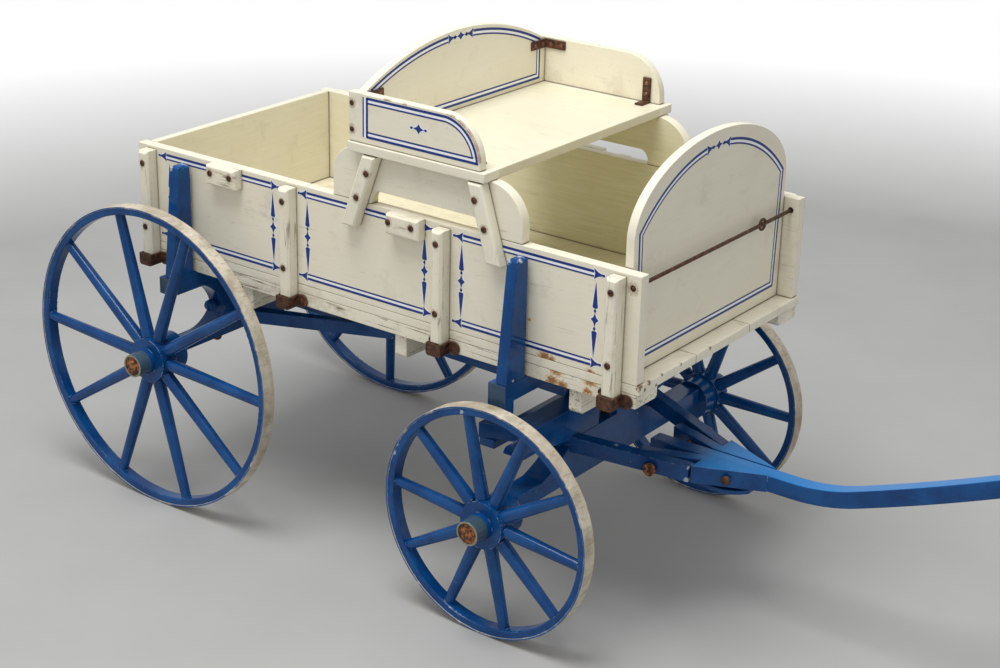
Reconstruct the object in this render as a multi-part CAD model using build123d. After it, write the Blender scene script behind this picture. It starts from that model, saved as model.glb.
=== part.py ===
from build123d import *
import math
import os

# Miniature farm wagon for a goat: box with lift-off seat, drop-in dash and
# tailgate, wooden running gear with a swivelling front axle, tongue and four
# spoked wheels. Millimetres, +Z up, +X forwards. While modelling, x = 0 is the
# rear axle; at export everything moves so that the whole is centred.

# Driving dimensions
wheelbase = 678
wheel_track = 603
rear_wheel_radius = 254
front_wheel_radius = 180
box_width = 455
box_height = 160
box_rear_x = -91
box_front_x = 873
floor_top_z = 423
board_thickness = 18

# Floor, sills and cross sills
floor_thickness = 14
floor_front_overhang = 4
floor_board_count = 3
floor_seam = 1
side_sill_width = 56
side_sill_height = 21
side_sill_end_radius = 6
cross_sill_length = 438
cross_sill_width = 22
cross_sill_height = 38
cross_sill_chamfer = 4
cross_sill_places = (135, 449, 768)

# Cleats, stop blocks and stake pockets of the box sides
cleat_width = 21
cleat_depth = 22
cleat_height = 176
cleat_top_drop = 5
cleat_chamfer = 4
cleat_rear_inset = 30
cleat_front_inset = 35
cleat_second_x = 240
cleat_to_front_stake = 137
block_length = 62
block_height = 32
block_depth = 18
block_chamfer = 3
block_places = (106, 470)
pocket_lap = 3
pocket_height = 20
pocket_thickness = 3
pocket_corner_radius = 5
pocket_clearance = 0.3
pocket_eye_radius = 10.5
pocket_eye_reach = 20
pocket_eye_drop = 6
pocket_hook_reach = 7
pocket_hook_height = 6
pocket_hook_radius = 5
pocket_hook_rise = 12

# Drop-in end panels
panel_thickness = 14
panel_clearance = 0.5
tailgate_inset = 8
dash_front_inset = 26
dash_shoulder_height = 199
dash_arch_height = 111
half_turn_degrees = 180
rod_radius = 4
rod_front_inset = 14
rod_height = 140
rod_bend_clearance = 0.3
rod_eye_y = 124
rod_eye_radius = 10
rod_eye_wire_radius = 3.5

# Seat
seat_rear_x = 367
seat_length = 251
seat_width = 489
seat_thickness = 14
seat_top_z = 678
arm_height = 74
arm_length = 240
arm_thickness = 15
arm_nose_radius = 66
arm_outset = 225
back_thickness = 14
back_rear_inset = 4
back_shoulder_height = 71
back_arch_height = 55
riser_bottom_rear_x = 325
riser_bottom_front_x = 674
riser_rear_radius = 42
riser_front_radius = 60
riser_slot_rear_x = 398
riser_slot_front_x = 600
riser_slot_height = 22
riser_slot_radius = 16
seat_cleat_width = 26
seat_cleat_depth = 18
seat_cleat_chamfer = 3
seat_cleat_foot_drop = 36
seat_cleat_top_gap = 2
seat_cleat_rear_top_x = 408
seat_cleat_rear_foot_x = 366
seat_cleat_front_top_x = 600
seat_cleat_front_foot_x = 636
seat_rest_gap = 0.3
strap_width = 14
strap_thickness = 3
strap_leg = 40
angle_iron_leg = 40
angle_iron_foot = 24
angle_iron_place = 209

# Rear gear
bolster_width = 31
bolster_length = 560
bolster_end_height = 28
rear_bolster_x = 14
rear_bolster_bottom_z = 311
bolster_block_width = 340
bolster_shoulder_run = 42
bolster_shoulder_run_share = 0.24
bolster_shoulder_height_share = 0.47
axle_beam_width = 38
axle_beam_length = 506
rear_axle_block_height = 57
rear_axle_end_height = 14
rear_axle_block_width = 300
rear_axle_run = 55
rear_axle_run_share = 1 / 3
rear_axle_height_share = 1 / 3
stake_width = 19
stake_top_thickness = 24
stake_bottom_thickness = 45
stake_gap = 6
stake_top_drop = 12
stake_chamfer = 4
axle_rod_radius = 8
axle_rod_groove_clearance = 0.2
hub_end_gap = 1

# Reach and rear hounds
reach_width = 40
reach_height = 28
reach_front_z = 261
reach_rear_z = 272
reach_front_overhang = 34
rear_hound_width = 26
rear_hound_height = 22
rear_hound_spread = 250
rear_hound_meet_x = 270
rear_hound_drop = 4

# Front gear
front_bolster_setback = 4
front_bolster_bottom_z = 303
front_bolster_block_width = 170
front_bolster_slope_width = 226
front_bolster_lug_width = 22
front_bolster_lug_drop = 26
front_axle_top_z = 250
front_axle_end_height = 26
front_axle_block_width = 224
front_axle_run = 78
front_axle_run_share = 0.45
front_axle_height_share = 0.4
sand_board_top_z = 302
sand_board_width = 416
sand_board_end_z = 261
sand_board_tip_length = 32
reach_slot_clearance = 5
reach_slot_width = 90
front_hound_width = 21
front_hound_height = 25
front_hound_front_reach = 188
front_hound_front_y = 48
front_hound_front_z = 234
front_hound_axle_y = 122
front_hound_axle_z = 257
front_hound_rear_reach = 118
sway_bar_width = 28
sway_bar_thickness = 14
sway_bar_length = 330
king_pin_radius = 7
king_pin_clearance = 0.08
bolt_radius = 5
bolt_clearance = 0.08
bolt_head_radius = 10
bolt_head_height = 6
hound_bolt_reach = 136
hound_bolt_z = 224

# Tongue
pole_width = 27
pole_height = 26
pole_rear_reach = 92
pole_dip_reach = 334
pole_dip_z = 224
pole_turn_radius = 300
pole_turn_degrees = 20
pole_rise_radius = 3200
pole_rise_degrees = 4
pole_crown_radius = 900
pole_crown_degrees = 10
pole_tip_length = 140
cheek_rear_reach = 98
cheek_front_reach = 297
cheek_width = 21
cheek_height = 28
cheek_gap = 5
cheek_shoulder_gap = 4
cheek_shoulder_y = 59
tongue_strap_rear_width = 84
tongue_strap_front_width = 44
tongue_strap_thickness = 7
tongue_strap_sag = 7
tongue_strap_sag_share = 1 / 3
tongue_strap_rear_gap = 8
tongue_strap_length = 76
tongue_iron_length = 60
tongue_iron_thickness = 3
tongue_eye_outer_radius = 17
tongue_eye_bore_radius = 9
tongue_eye_thickness = 14

# Wheels
tyre_width = 24
tyre_thickness = 3
felloe_width = 22
felloe_depth = 11
felloe_edge_radius = 3
spoke_count = 10
full_turn_degrees = 360
spoke_hub_radius = 10.5
spoke_rim_radius = 8
hub_inner_length = 44
hub_outer_length = 47
hub_flange_radius = 37
hub_flange_width = 30
hub_nose_radius = 18.5
hub_nose_foot_radius = 21
hub_tail_radius = 33
nut_radius = 14.5
nut_length = 9
nut_sides = 6
nut_recess_radius = 16
nut_recess_depth = 10
running_clearance = 0.06
press_clearance = 0.05

# Places that follow from the sizes above
floor_bottom_z = floor_top_z - floor_thickness
side_sill_bottom_z = floor_bottom_z - side_sill_height
bolster_top_z = side_sill_bottom_z
box_top_z = floor_top_z + box_height
box_inner_half = box_width / 2 - board_thickness
floor_front_x = box_front_x + floor_front_overhang
rear_axle_z = rear_wheel_radius
front_axle_z = front_wheel_radius
wheel_centre_y = wheel_track / 2
dash_front_x = box_front_x - dash_front_inset
rod_x = box_front_x - rod_front_inset
rod_z = floor_top_z + rod_height
hub_outer_y = wheel_centre_y + hub_outer_length
front_bolster_x = wheelbase - front_bolster_setback
front_hound_front_x = wheelbase + front_hound_front_reach
front_hound_rear_x = wheelbase - front_hound_rear_reach
hound_bolt_x = wheelbase + hound_bolt_reach
cleat_places = (box_rear_x + cleat_rear_inset, cleat_second_x,
                front_bolster_x - cleat_to_front_stake, box_front_x - cleat_front_inset)
pole_rear_x = wheelbase + pole_rear_reach
pole_dip_x = wheelbase + pole_dip_reach
cheek_rear_x = wheelbase + cheek_rear_reach
cheek_front_x = wheelbase + cheek_front_reach
cheek_shoulder_x = front_hound_front_x + cheek_shoulder_gap
tongue_strap_rear_x = front_hound_front_x + tongue_strap_rear_gap

# Wheels: name, radius, place along the wagon, side, turn of the first spoke in degrees
wheel_rows = (
    ("rear_right", rear_wheel_radius, 0, -1, 33.0),
    ("rear_left", rear_wheel_radius, 0, 1, 17.2),
    ("front_right", front_wheel_radius, wheelbase, -1, 30.7),
    ("front_left", front_wheel_radius, wheelbase, 1, 35.9),
)


def bar(x0, x1, y0, y1, z0, z1):
    """A rectangular piece between two corners."""
    size = (x1 - x0, y1 - y0, z1 - z0)
    middle = ((x0 + x1) / 2, (y0 + y1) / 2, (z0 + z1) / 2)
    return Pos(*middle) * Box(*size)


def along_x(length_plane, profile, thickness):
    """Extrude an outline drawn in a plane, both ways about that plane."""
    face = make_face(length_plane * profile)
    return extrude(face, amount=thickness / 2, both=True)


def mirrored(piece):
    """The same piece on the other side of the wagon."""
    return mirror(piece, about=Plane.XZ)


def pair(piece):
    """A piece and its mirror image, as separate solids."""
    return [piece, mirrored(piece)]


def upright(y):
    """Drawing plane across the wagon's side: local x is X, local y is Z."""
    return Plane(origin=(0, y, 0), x_dir=(1, 0, 0), z_dir=(0, -1, 0))


def cross(x):
    """Drawing plane across the wagon: local x is Y, local y is Z."""
    return Plane(origin=(x, 0, 0), x_dir=(0, 1, 0), z_dir=(1, 0, 0))


def floor_boards():
    width = (box_width - floor_seam * (floor_board_count - 1)) / floor_board_count
    boards = []
    for place in range(floor_board_count):
        y0 = -box_width / 2 + place * (width + floor_seam)
        boards.append(bar(box_rear_x, floor_front_x, y0, y0 + width, floor_bottom_z, floor_top_z))
    return boards


def side_sill():
    y0 = box_width / 2 - side_sill_width
    sill = bar(box_rear_x, box_front_x, y0, box_width / 2, side_sill_bottom_z, floor_bottom_z)
    corners = sill.edges().filter_by(Axis.X).sort_by(Axis.Z)[:2].sort_by(Axis.Y)[:1]
    return fillet(corners, side_sill_end_radius)


def cross_sills():
    sills = []
    for x in cross_sill_places:
        half = cross_sill_length / 2
        x0 = x - cross_sill_width / 2
        z0 = side_sill_bottom_z - cross_sill_height
        sill = bar(x0, x0 + cross_sill_width, -half, half, z0, side_sill_bottom_z)
        ends = sill.edges().filter_by(Axis.X).sort_by(Axis.Z)[:2]
        sills.append(chamfer(ends, cross_sill_chamfer))
    return sills


def side_board():
    y0 = box_inner_half
    board = bar(box_rear_x, box_front_x, y0, box_width / 2, floor_top_z, box_top_z)
    hole = Pos(rod_x, y0 + board_thickness / 2, rod_z)
    hole *= Rot(X=90) * Cylinder(rod_radius + rod_bend_clearance, board_thickness * 2)
    return board - hole


def side_cleats():
    cleats = []
    for x in cleat_places:
        z1 = box_top_z - cleat_top_drop
        y0 = box_width / 2
        cleat = bar(x - cleat_width / 2, x + cleat_width / 2, y0, y0 + cleat_depth,
                    z1 - cleat_height, z1)
        outer = cleat.faces().sort_by(Axis.Y)[-1]
        cleat = chamfer(outer.edges(), cleat_chamfer)
        cleats.append(cleat)
    return cleats


def stop_blocks():
    blocks = []
    for x in block_places:
        y0 = box_width / 2
        block = bar(x - block_length / 2, x + block_length / 2, y0, y0 + block_depth,
                    box_top_z - block_height, box_top_z)
        outer = block.faces().sort_by(Axis.Y)[-1]
        blocks.append(chamfer(outer.edges(), block_chamfer))
    return blocks


def stake_pocket(x):
    """Iron shoe round a cleat's foot, with an eye plate in front and a hook behind."""
    half = cleat_width / 2 + pocket_clearance
    y0 = box_width / 2 + pocket_clearance
    y1 = y0 + cleat_depth
    z1 = box_top_z - cleat_top_drop - cleat_height + pocket_lap
    z0 = z1 - pocket_height
    outer = bar(x - half - pocket_thickness, x + half + pocket_thickness,
                y0, y1 + pocket_thickness, z0, z1)
    corners = outer.edges().filter_by(Axis.Y).group_by(Axis.Z)[0]
    outer = fillet(corners, pocket_corner_radius)
    inner = bar(x - half, x + half, y0, y1, z0 + pocket_thickness, z1)
    middle_y = y0 + pocket_thickness / 2
    eye_x = x + pocket_eye_reach
    eye_z = box_top_z - cleat_top_drop - cleat_height - pocket_eye_drop
    eye = Pos(eye_x, middle_y, eye_z) * Rot(X=90) * Cylinder(pocket_eye_radius, pocket_thickness)
    hook_x = x - half - pocket_thickness
    tip_x = hook_x - pocket_hook_reach
    hook_z = z0 + pocket_thickness
    hook = bar(tip_x, hook_x + pocket_thickness, y0, y0 + pocket_thickness,
               hook_z, hook_z + pocket_hook_height)
    shank = bar(tip_x - pocket_hook_radius / 2, tip_x + pocket_hook_radius / 2,
                y0, y0 + pocket_thickness, hook_z, hook_z + pocket_hook_rise)
    curl = Pos(tip_x, middle_y, hook_z + pocket_hook_rise)
    curl *= Rot(X=90) * Cylinder(pocket_hook_radius, pocket_thickness)
    return outer + eye + hook + shank + curl - inner


def stake_pockets():
    return [stake_pocket(x) for x in cleat_places]


def tailgate():
    x0 = box_rear_x + tailgate_inset
    half = box_inner_half - panel_clearance
    return bar(x0, x0 + panel_thickness, -half, half, floor_top_z + panel_clearance, box_top_z)


def arch_outline(half, foot_z, shoulder_z, rise):
    """A panel outline: straight sides and an elliptical arch on top."""
    side = [(-half, shoulder_z), (-half, foot_z), (half, foot_z), (half, shoulder_z)]
    arch = EllipticalCenterArc((0, shoulder_z), half, rise, start_angle=0,
                              arc_size=half_turn_degrees)
    return Polyline(*side) + arch


def dash_panel():
    half = box_inner_half - panel_clearance
    shoulder = floor_top_z + dash_shoulder_height
    outline = arch_outline(half, floor_top_z + panel_clearance, shoulder, dash_arch_height)
    return along_x(cross(dash_front_x - panel_thickness / 2), outline, panel_thickness)


def front_rod():
    rod = Pos(rod_x, 0, rod_z) * Rot(X=90) * Cylinder(rod_radius, box_width)
    eye = Pos(rod_x, rod_eye_y, rod_z) * Rot(Y=90) * Torus(rod_eye_radius, rod_eye_wire_radius)
    return rod + eye


def hollow_shoulder(side, inner_y, low_z, run, rise, run_share, height_share):
    """Hollow curve of a beam's shoulder, drawn across the wagon on one side."""
    start = (side * inner_y, low_z)
    middle = (side * (inner_y + run * run_share), low_z + rise * height_share)
    end = (side * (inner_y + run), low_z + rise)
    return ThreePointArc(start, middle, end)


def rear_bolster():
    """Cross beam under the box: block with hollow shoulders and thin ends."""
    half = bolster_length / 2
    end_z = bolster_top_z - bolster_end_height
    block_y = bolster_block_width / 2
    rise = end_z - rear_bolster_bottom_z
    shoulders = [
        hollow_shoulder(side, block_y, rear_bolster_bottom_z, bolster_shoulder_run, rise,
                        bolster_shoulder_run_share, bolster_shoulder_height_share)
        for side in (-1, 1)]
    neck_y = block_y + bolster_shoulder_run
    ends = Polyline((-neck_y, end_z), (-half, end_z), (-half, bolster_top_z),
                    (half, bolster_top_z), (half, end_z), (neck_y, end_z))
    foot = Line((block_y, rear_bolster_bottom_z), (-block_y, rear_bolster_bottom_z))
    outline = ends + shoulders[0] + shoulders[1] + foot
    return along_x(cross(rear_bolster_x), outline, bolster_width)


def front_bolster():
    """Beam over the sand board: short block, thin arms and a lug under each end."""
    half = bolster_length / 2
    end_z = bolster_top_z - bolster_end_height
    lug_z = end_z - front_bolster_lug_drop
    lug_y = half - front_bolster_lug_width
    slope_y = front_bolster_slope_width / 2
    block_y = front_bolster_block_width / 2
    low_z = front_bolster_bottom_z
    outline = Polyline(
        (-half, bolster_top_z), (-half, lug_z), (-lug_y, lug_z), (-lug_y, end_z),
        (-slope_y, end_z), (-block_y, low_z), (block_y, low_z), (slope_y, end_z),
        (lug_y, end_z), (lug_y, lug_z), (half, lug_z), (half, bolster_top_z), close=True)
    beam = along_x(cross(front_bolster_x), outline, bolster_width)
    return beam - king_pin_hole(king_pin_radius)


def king_pin_hole(radius):
    height = bolster_top_z * 2
    return Pos(wheelbase, 0, height / 2) * Cylinder(radius, height)


def stake(bolster_x):
    """Stake on a bolster end, flush with the bolster's front, thinner towards its top."""
    x = bolster_x + (bolster_width - stake_width) / 2
    y0 = box_width / 2 + stake_gap
    z1 = box_top_z - stake_top_drop
    outline = Polyline(
        (y0, bolster_top_z), (y0 + stake_bottom_thickness, bolster_top_z),
        (y0 + stake_top_thickness, z1), (y0, z1), close=True)
    post = along_x(cross(x), outline, stake_width)
    top = post.faces().sort_by(Axis.Z)[-1]
    return chamfer(top.edges(), stake_chamfer)


def axle_beam(x, axle_z, block_height, end_height, block_width, run, run_share, height_share):
    """Wooden axle: flat underside, block in the middle, a hollow sweep down to thin ends."""
    end_y = axle_beam_length / 2
    block_y = block_width / 2
    neck_y = block_y + run
    end_z = axle_z + end_height
    top_z = axle_z + block_height
    sweeps = [
        hollow_shoulder(side, block_y, top_z, run, end_z - top_z, run_share, 1 - height_share)
        for side in (-1, 1)]
    lines = Polyline((-neck_y, end_z), (-end_y, end_z), (-end_y, axle_z), (end_y, axle_z),
                     (end_y, end_z), (neck_y, end_z))
    top = Line((block_y, top_z), (-block_y, top_z))
    beam = along_x(cross(x), lines + sweeps[0] + top + sweeps[1], axle_beam_width)
    groove = Pos(x, 0, axle_z) * Rot(X=90)
    groove *= Cylinder(axle_rod_radius + axle_rod_groove_clearance, axle_beam_length * 2)
    return beam - groove


def rear_axle():
    return axle_beam(0, rear_axle_z, rear_axle_block_height, rear_axle_end_height,
                     rear_axle_block_width, rear_axle_run, rear_axle_run_share,
                     rear_axle_height_share)


def axle_rod(x, axle_z):
    """Round iron axle let into the underside of the beam."""
    length = (hub_outer_y - hub_end_gap) * 2
    return Pos(x, 0, axle_z) * Rot(X=90) * Cylinder(axle_rod_radius, length)


def axle_nut(x, axle_z):
    """Nut inside the recess of the hub's nose, right side."""
    y = -hub_outer_y + nut_recess_depth - nut_length / 2 - hub_end_gap / 2
    block = extrude(RegularPolygon(nut_radius, nut_sides), amount=nut_length / 2, both=True)
    nut = Pos(x, y, axle_z) * Rot(X=90) * block
    return nut - axle_rod(x, axle_z)


def reach():
    x0 = rear_bolster_x + bolster_width / 2
    x0 = max(x0, axle_beam_width / 2)
    x1 = wheelbase + reach_front_overhang
    outline = Polyline((x0, reach_rear_z), (x1, reach_front_z),
                       (x1, reach_front_z + reach_height), (x0, reach_rear_z + reach_height),
                       close=True)
    pole = along_x(upright(0), outline, reach_width)
    return pole - king_pin_hole(king_pin_radius + king_pin_clearance)


def rear_hound():
    """Brace from the rear axle to the reach."""
    x0 = axle_beam_width / 2
    y0 = reach_width / 2
    spread = rear_hound_spread / 2
    outline = Polyline((x0, spread), (x0, spread - rear_hound_width),
                       (rear_hound_meet_x - rear_hound_width, y0), (rear_hound_meet_x, y0),
                       close=True)
    z0 = reach_rear_z - rear_hound_drop
    return Pos(0, 0, z0) * extrude(make_face(outline), amount=rear_hound_height)


def king_pin():
    z0 = front_axle_z + axle_rod_radius + axle_rod_groove_clearance
    shank = Pos(wheelbase, 0, (z0 + bolster_top_z) / 2)
    return shank * Cylinder(king_pin_radius, bolster_top_z - z0)


def front_hound():
    """Side brace of the front gear, sloping down and inwards to the tongue."""
    slope = (front_hound_axle_y - front_hound_front_y) / (front_hound_front_x - wheelbase)
    fall = (front_hound_axle_z - front_hound_front_z) / (front_hound_front_x - wheelbase)
    back = wheelbase - front_hound_rear_x
    rear_y = front_hound_axle_y + slope * back
    rear_z = front_hound_axle_z
    plan = Polyline(
        (front_hound_rear_x, rear_y), (front_hound_rear_x, rear_y - front_hound_width),
        (front_hound_front_x, front_hound_front_y - front_hound_width / 2),
        (front_hound_front_x, front_hound_front_y + front_hound_width / 2), close=True)
    side = Polyline(
        (front_hound_rear_x, rear_z), (wheelbase, front_hound_axle_z),
        (front_hound_front_x, front_hound_axle_z - fall * (front_hound_front_x - wheelbase)),
        (front_hound_front_x, front_hound_front_z - front_hound_height),
        (wheelbase, front_hound_axle_z - front_hound_height),
        (front_hound_rear_x, rear_z - front_hound_height), close=True)
    tall = extrude(make_face(plan), amount=rear_z * 2)
    wide = along_x(upright(0), side, wheel_track)
    hound = tall & wide
    return hound - hound_bolt_hole()


def hound_bolt_hole():
    hole = Pos(hound_bolt_x, 0, hound_bolt_z) * Rot(X=90)
    return hole * Cylinder(bolt_radius + bolt_clearance, wheel_track)


def front_axle():
    beam = axle_beam(wheelbase, front_axle_z, front_axle_top_z - front_axle_z,
                     front_axle_end_height, front_axle_block_width, front_axle_run,
                     front_axle_run_share, front_axle_height_share)
    for hound in pair(front_hound()):
        beam = beam - hound
    return beam - king_pin_hole(king_pin_radius + king_pin_clearance)


def sand_board_tips():
    """Half-round tips that carry the sand board's ends out over the axle."""
    half = sand_board_width / 2
    reach_y = half + sand_board_tip_length
    radius = axle_beam_width / 2
    log = Pos(wheelbase, 0, sand_board_end_z) * Rot(X=90) * Cylinder(radius, reach_y * 2)
    keep = bar(wheelbase - radius, wheelbase + radius, half - radius, reach_y,
               sand_board_end_z, sand_board_end_z + radius)
    return pair(log & keep)


def sand_board():
    """Board between axle and bolster: its underside rises outwards to the tips."""
    half = sand_board_width / 2
    shoulder = front_axle_block_width / 2
    end_z = sand_board_end_z
    outline = Polyline(
        (-half, sand_board_top_z), (-half, end_z), (-shoulder, front_axle_top_z),
        (shoulder, front_axle_top_z), (half, end_z), (half, sand_board_top_z), close=True)
    board = along_x(cross(wheelbase), outline, axle_beam_width)
    for tip in sand_board_tips():
        board = board + tip
    slot_top = reach_front_z + reach_height + reach_slot_clearance
    slot = bar(wheelbase - axle_beam_width, wheelbase + axle_beam_width,
               -reach_slot_width / 2, reach_slot_width / 2,
               front_axle_top_z - reach_slot_clearance, slot_top)
    board = board - slot - king_pin_hole(king_pin_radius + king_pin_clearance)
    for hound in pair(front_hound()):
        board = board - hound
    return board


def sway_bar():
    """Cross bar on the rear ends of the front hounds, under the reach."""
    z1 = front_hound_axle_z - front_hound_height
    half = sway_bar_length / 2
    return bar(front_hound_rear_x, front_hound_rear_x + sway_bar_width, -half, half,
               z1 - sway_bar_thickness, z1)


def hound_outer_y(x):
    """Outer face of the front hounds at a place along the wagon."""
    outer_front = front_hound_front_y + front_hound_width / 2
    slope = (front_hound_axle_y - front_hound_front_y) / (front_hound_front_x - wheelbase)
    rear_y = front_hound_axle_y + slope * (wheelbase - front_hound_rear_x)
    share = (x - front_hound_rear_x) / (front_hound_front_x - front_hound_rear_x)
    return rear_y + (outer_front - rear_y) * share


def hound_inner_y(x):
    """Inner face of the front hounds at a place along the wagon."""
    inner_front = front_hound_front_y - front_hound_width / 2
    slope = (front_hound_axle_y - front_hound_front_y) / (front_hound_front_x - wheelbase)
    rear_y = front_hound_axle_y + slope * (wheelbase - front_hound_rear_x)
    rear_y = rear_y - front_hound_width
    share = (x - front_hound_rear_x) / (front_hound_front_x - front_hound_rear_x)
    return rear_y + (inner_front - rear_y) * share


def hound_bolt():
    reach_y = hound_outer_y(hound_bolt_x - bolt_head_radius) + press_clearance
    shank = Cylinder(bolt_radius, (reach_y + bolt_head_height) * 2)
    head = Pos(0, 0, reach_y + bolt_head_height / 2) * Cylinder(bolt_head_radius, bolt_head_height)
    nut = Pos(0, 0, -reach_y - bolt_head_height / 2) * Cylinder(bolt_head_radius, bolt_head_height)
    return Pos(hound_bolt_x, 0, hound_bolt_z) * Rot(X=90) * (shank + head + nut)


def pole_path():
    """Centre line of the tongue: level, a turn up, a slow rise, a crown, a straight tip."""
    first = Line((pole_rear_x, pole_dip_z), (pole_dip_x, pole_dip_z))
    turn = JernArc(first @ 1, first % 1, pole_turn_radius, pole_turn_degrees)
    rise = JernArc(turn @ 1, turn % 1, pole_rise_radius, pole_rise_degrees)
    crown = JernArc(rise @ 1, rise % 1, pole_crown_radius, -pole_crown_degrees)
    tip = Line(crown @ 1, crown @ 1 + (crown % 1) * pole_tip_length)
    return first, turn, rise, crown, tip


def tongue_pole():
    centre = upright(0) * Curve(children=list(pole_path()))
    start = Plane(origin=(pole_rear_x, 0, pole_dip_z), x_dir=(0, 1, 0), z_dir=(1, 0, 0))
    section = start * Rectangle(pole_width, pole_height)
    pole = sweep(section, path=centre)
    return pole - hound_bolt_hole()


def tongue_tip():
    """End of the tongue's centre line and its direction, in the side plane."""
    last = pole_path()[-1]
    end = last @ 1
    way = last % 1
    return end, way


def tongue_cheek():
    """Splayed side piece between pole and hound, with a shoulder before the hound's end."""
    rear_outer = hound_inner_y(cheek_rear_x) - cheek_gap
    neck_outer = hound_inner_y(cheek_shoulder_x) - cheek_gap
    pole_y = pole_width / 2
    outline = Polyline(
        (cheek_rear_x, rear_outer), (cheek_rear_x, rear_outer - cheek_width),
        (front_hound_front_x, pole_y), (cheek_front_x, pole_y),
        (cheek_shoulder_x, cheek_shoulder_y), (cheek_shoulder_x, neck_outer), close=True)
    z0 = pole_dip_z - cheek_height / 2
    cheek = Pos(0, 0, z0) * extrude(make_face(outline), amount=cheek_height)
    return cheek - hound_bolt_hole()


def tongue_strap():
    """Bowed strap under the tongue's head, from cheek to cheek, narrower in front."""
    x0 = tongue_strap_rear_x
    x1 = x0 + tongue_strap_length
    middle_x = x0 + tongue_strap_length * tongue_strap_sag_share
    z1 = pole_dip_z - cheek_height / 2
    z0 = z1 - tongue_strap_thickness
    top = ThreePointArc((x0, z1), (middle_x, z1 - tongue_strap_sag), (x1, z1))
    front = Line((x1, z1), (x1, z0))
    bottom = ThreePointArc((x1, z0), (middle_x, z0 - tongue_strap_sag), (x0, z0))
    rear = Line((x0, z0), (x0, z1))
    bowed = along_x(upright(0), top + front + bottom + rear, tongue_strap_rear_width)
    rear_y = tongue_strap_rear_width / 2
    front_y = tongue_strap_front_width / 2
    plan = Polyline((x0, rear_y), (x0, -rear_y), (x1, -front_y), (x1, front_y), close=True)
    return bowed & extrude(make_face(plan), amount=pole_dip_z)


def tongue_eye():
    """Iron cap and eye on the tongue's tip."""
    end, way = tongue_tip()
    angle = math.degrees(math.atan2(way.Y, way.X))
    place = Pos(end.X, 0, end.Y) * Rot(Y=-angle)
    outer = (tongue_iron_length, pole_width + tongue_iron_thickness * 2,
             pole_height + tongue_iron_thickness * 2)
    cap = Pos(-tongue_iron_length / 2 + tongue_iron_thickness, 0, 0) * Box(*outer)
    inner = (tongue_iron_length, pole_width, pole_height)
    cap = cap - Pos(-tongue_iron_length / 2, 0, 0) * Box(*inner)
    eye_x = tongue_iron_thickness + tongue_eye_outer_radius
    eye = Pos(eye_x, 0, 0) * Rot(X=90) * Cylinder(tongue_eye_outer_radius, tongue_eye_thickness)
    neck = Pos(eye_x / 2, 0, 0) * Box(eye_x, tongue_eye_thickness, tongue_eye_bore_radius * 2)
    bore = Pos(eye_x, 0, 0) * Rot(X=90) * Cylinder(tongue_eye_bore_radius, pole_width)
    return place * (cap + eye + neck - bore)


def tyre(radius):
    ring = Cylinder(radius, tyre_width) - Cylinder(radius - tyre_thickness, tyre_width)
    return Rot(X=90) * ring


def felloe_and_spokes(radius, phase):
    """Felloe ring with its spokes, which end at the hub's flange."""
    outer = radius - tyre_thickness - press_clearance
    inner = outer - felloe_depth
    ring = Cylinder(outer, felloe_width) - Cylinder(inner, felloe_width)
    rims = ring.edges().filter_by(GeomType.CIRCLE).sort_by(SortBy.RADIUS)[:2]
    ring = fillet(rims, felloe_edge_radius)
    foot = hub_flange_radius + press_clearance
    length = inner + felloe_depth / 2 - foot
    spoke = Cone(spoke_hub_radius, spoke_rim_radius, length)
    wheel = ring
    for place in range(spoke_count):
        angle = phase + full_turn_degrees * place / spoke_count
        wheel = wheel + Rot(Z=angle) * Pos(foot + length / 2, 0, 0) * Rot(Y=90) * spoke
    wheel = wheel - Cylinder(foot, felloe_width * 2)
    return Rot(X=90) * wheel


def hub():
    """Turned hub for a right wheel: tail inwards, nose outwards at -Y."""
    half_flange = hub_flange_width / 2
    outline = Polyline(
        (axle_rod_radius + running_clearance, -hub_inner_length),
        (hub_tail_radius, -hub_inner_length),
        (hub_tail_radius, -half_flange),
        (hub_flange_radius, -half_flange),
        (hub_flange_radius, half_flange),
        (hub_nose_foot_radius, half_flange),
        (hub_nose_radius, hub_outer_length),
        (nut_recess_radius, hub_outer_length),
        (nut_recess_radius, hub_outer_length - nut_recess_depth),
        (axle_rod_radius + running_clearance, hub_outer_length - nut_recess_depth),
        close=True)
    profile = Plane(origin=(0, 0, 0), x_dir=(1, 0, 0), z_dir=(0, -1, 0)) * outline
    turned = revolve(make_face(profile), axis=Axis.Z)
    return Rot(X=90) * turned


def riser():
    """Seat riser in line with the side board, with its long hand slot."""
    y = (box_inner_half + box_width / 2) / 2
    z0 = box_top_z + seat_rest_gap
    z1 = seat_top_z - seat_thickness
    outline = Polyline((riser_bottom_rear_x, z0), (riser_bottom_front_x, z0),
                       (riser_bottom_front_x, z1), (riser_bottom_rear_x, z1), close=True)
    board = along_x(upright(y), outline, board_thickness)
    top = board.edges().filter_by(Axis.Y).group_by(Axis.Z)[-1].sort_by(Axis.X)
    board = fillet(top[-1], riser_front_radius)
    top = board.edges().filter_by(Axis.Y).sort_by(Axis.X)[:2].sort_by(Axis.Z)[-1]
    board = fillet(top, riser_rear_radius)
    slot = bar(riser_slot_rear_x, riser_slot_front_x, y - board_thickness, y + board_thickness,
               z0 - riser_slot_height, z0 + riser_slot_height)
    ends = slot.edges().filter_by(Axis.Y).group_by(Axis.Z)[-1]
    return board - fillet(ends, riser_slot_radius)


def seat_board():
    half = seat_width / 2
    z1 = seat_top_z
    return bar(seat_rear_x, seat_rear_x + seat_length, -half, half, z1 - seat_thickness, z1)


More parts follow.
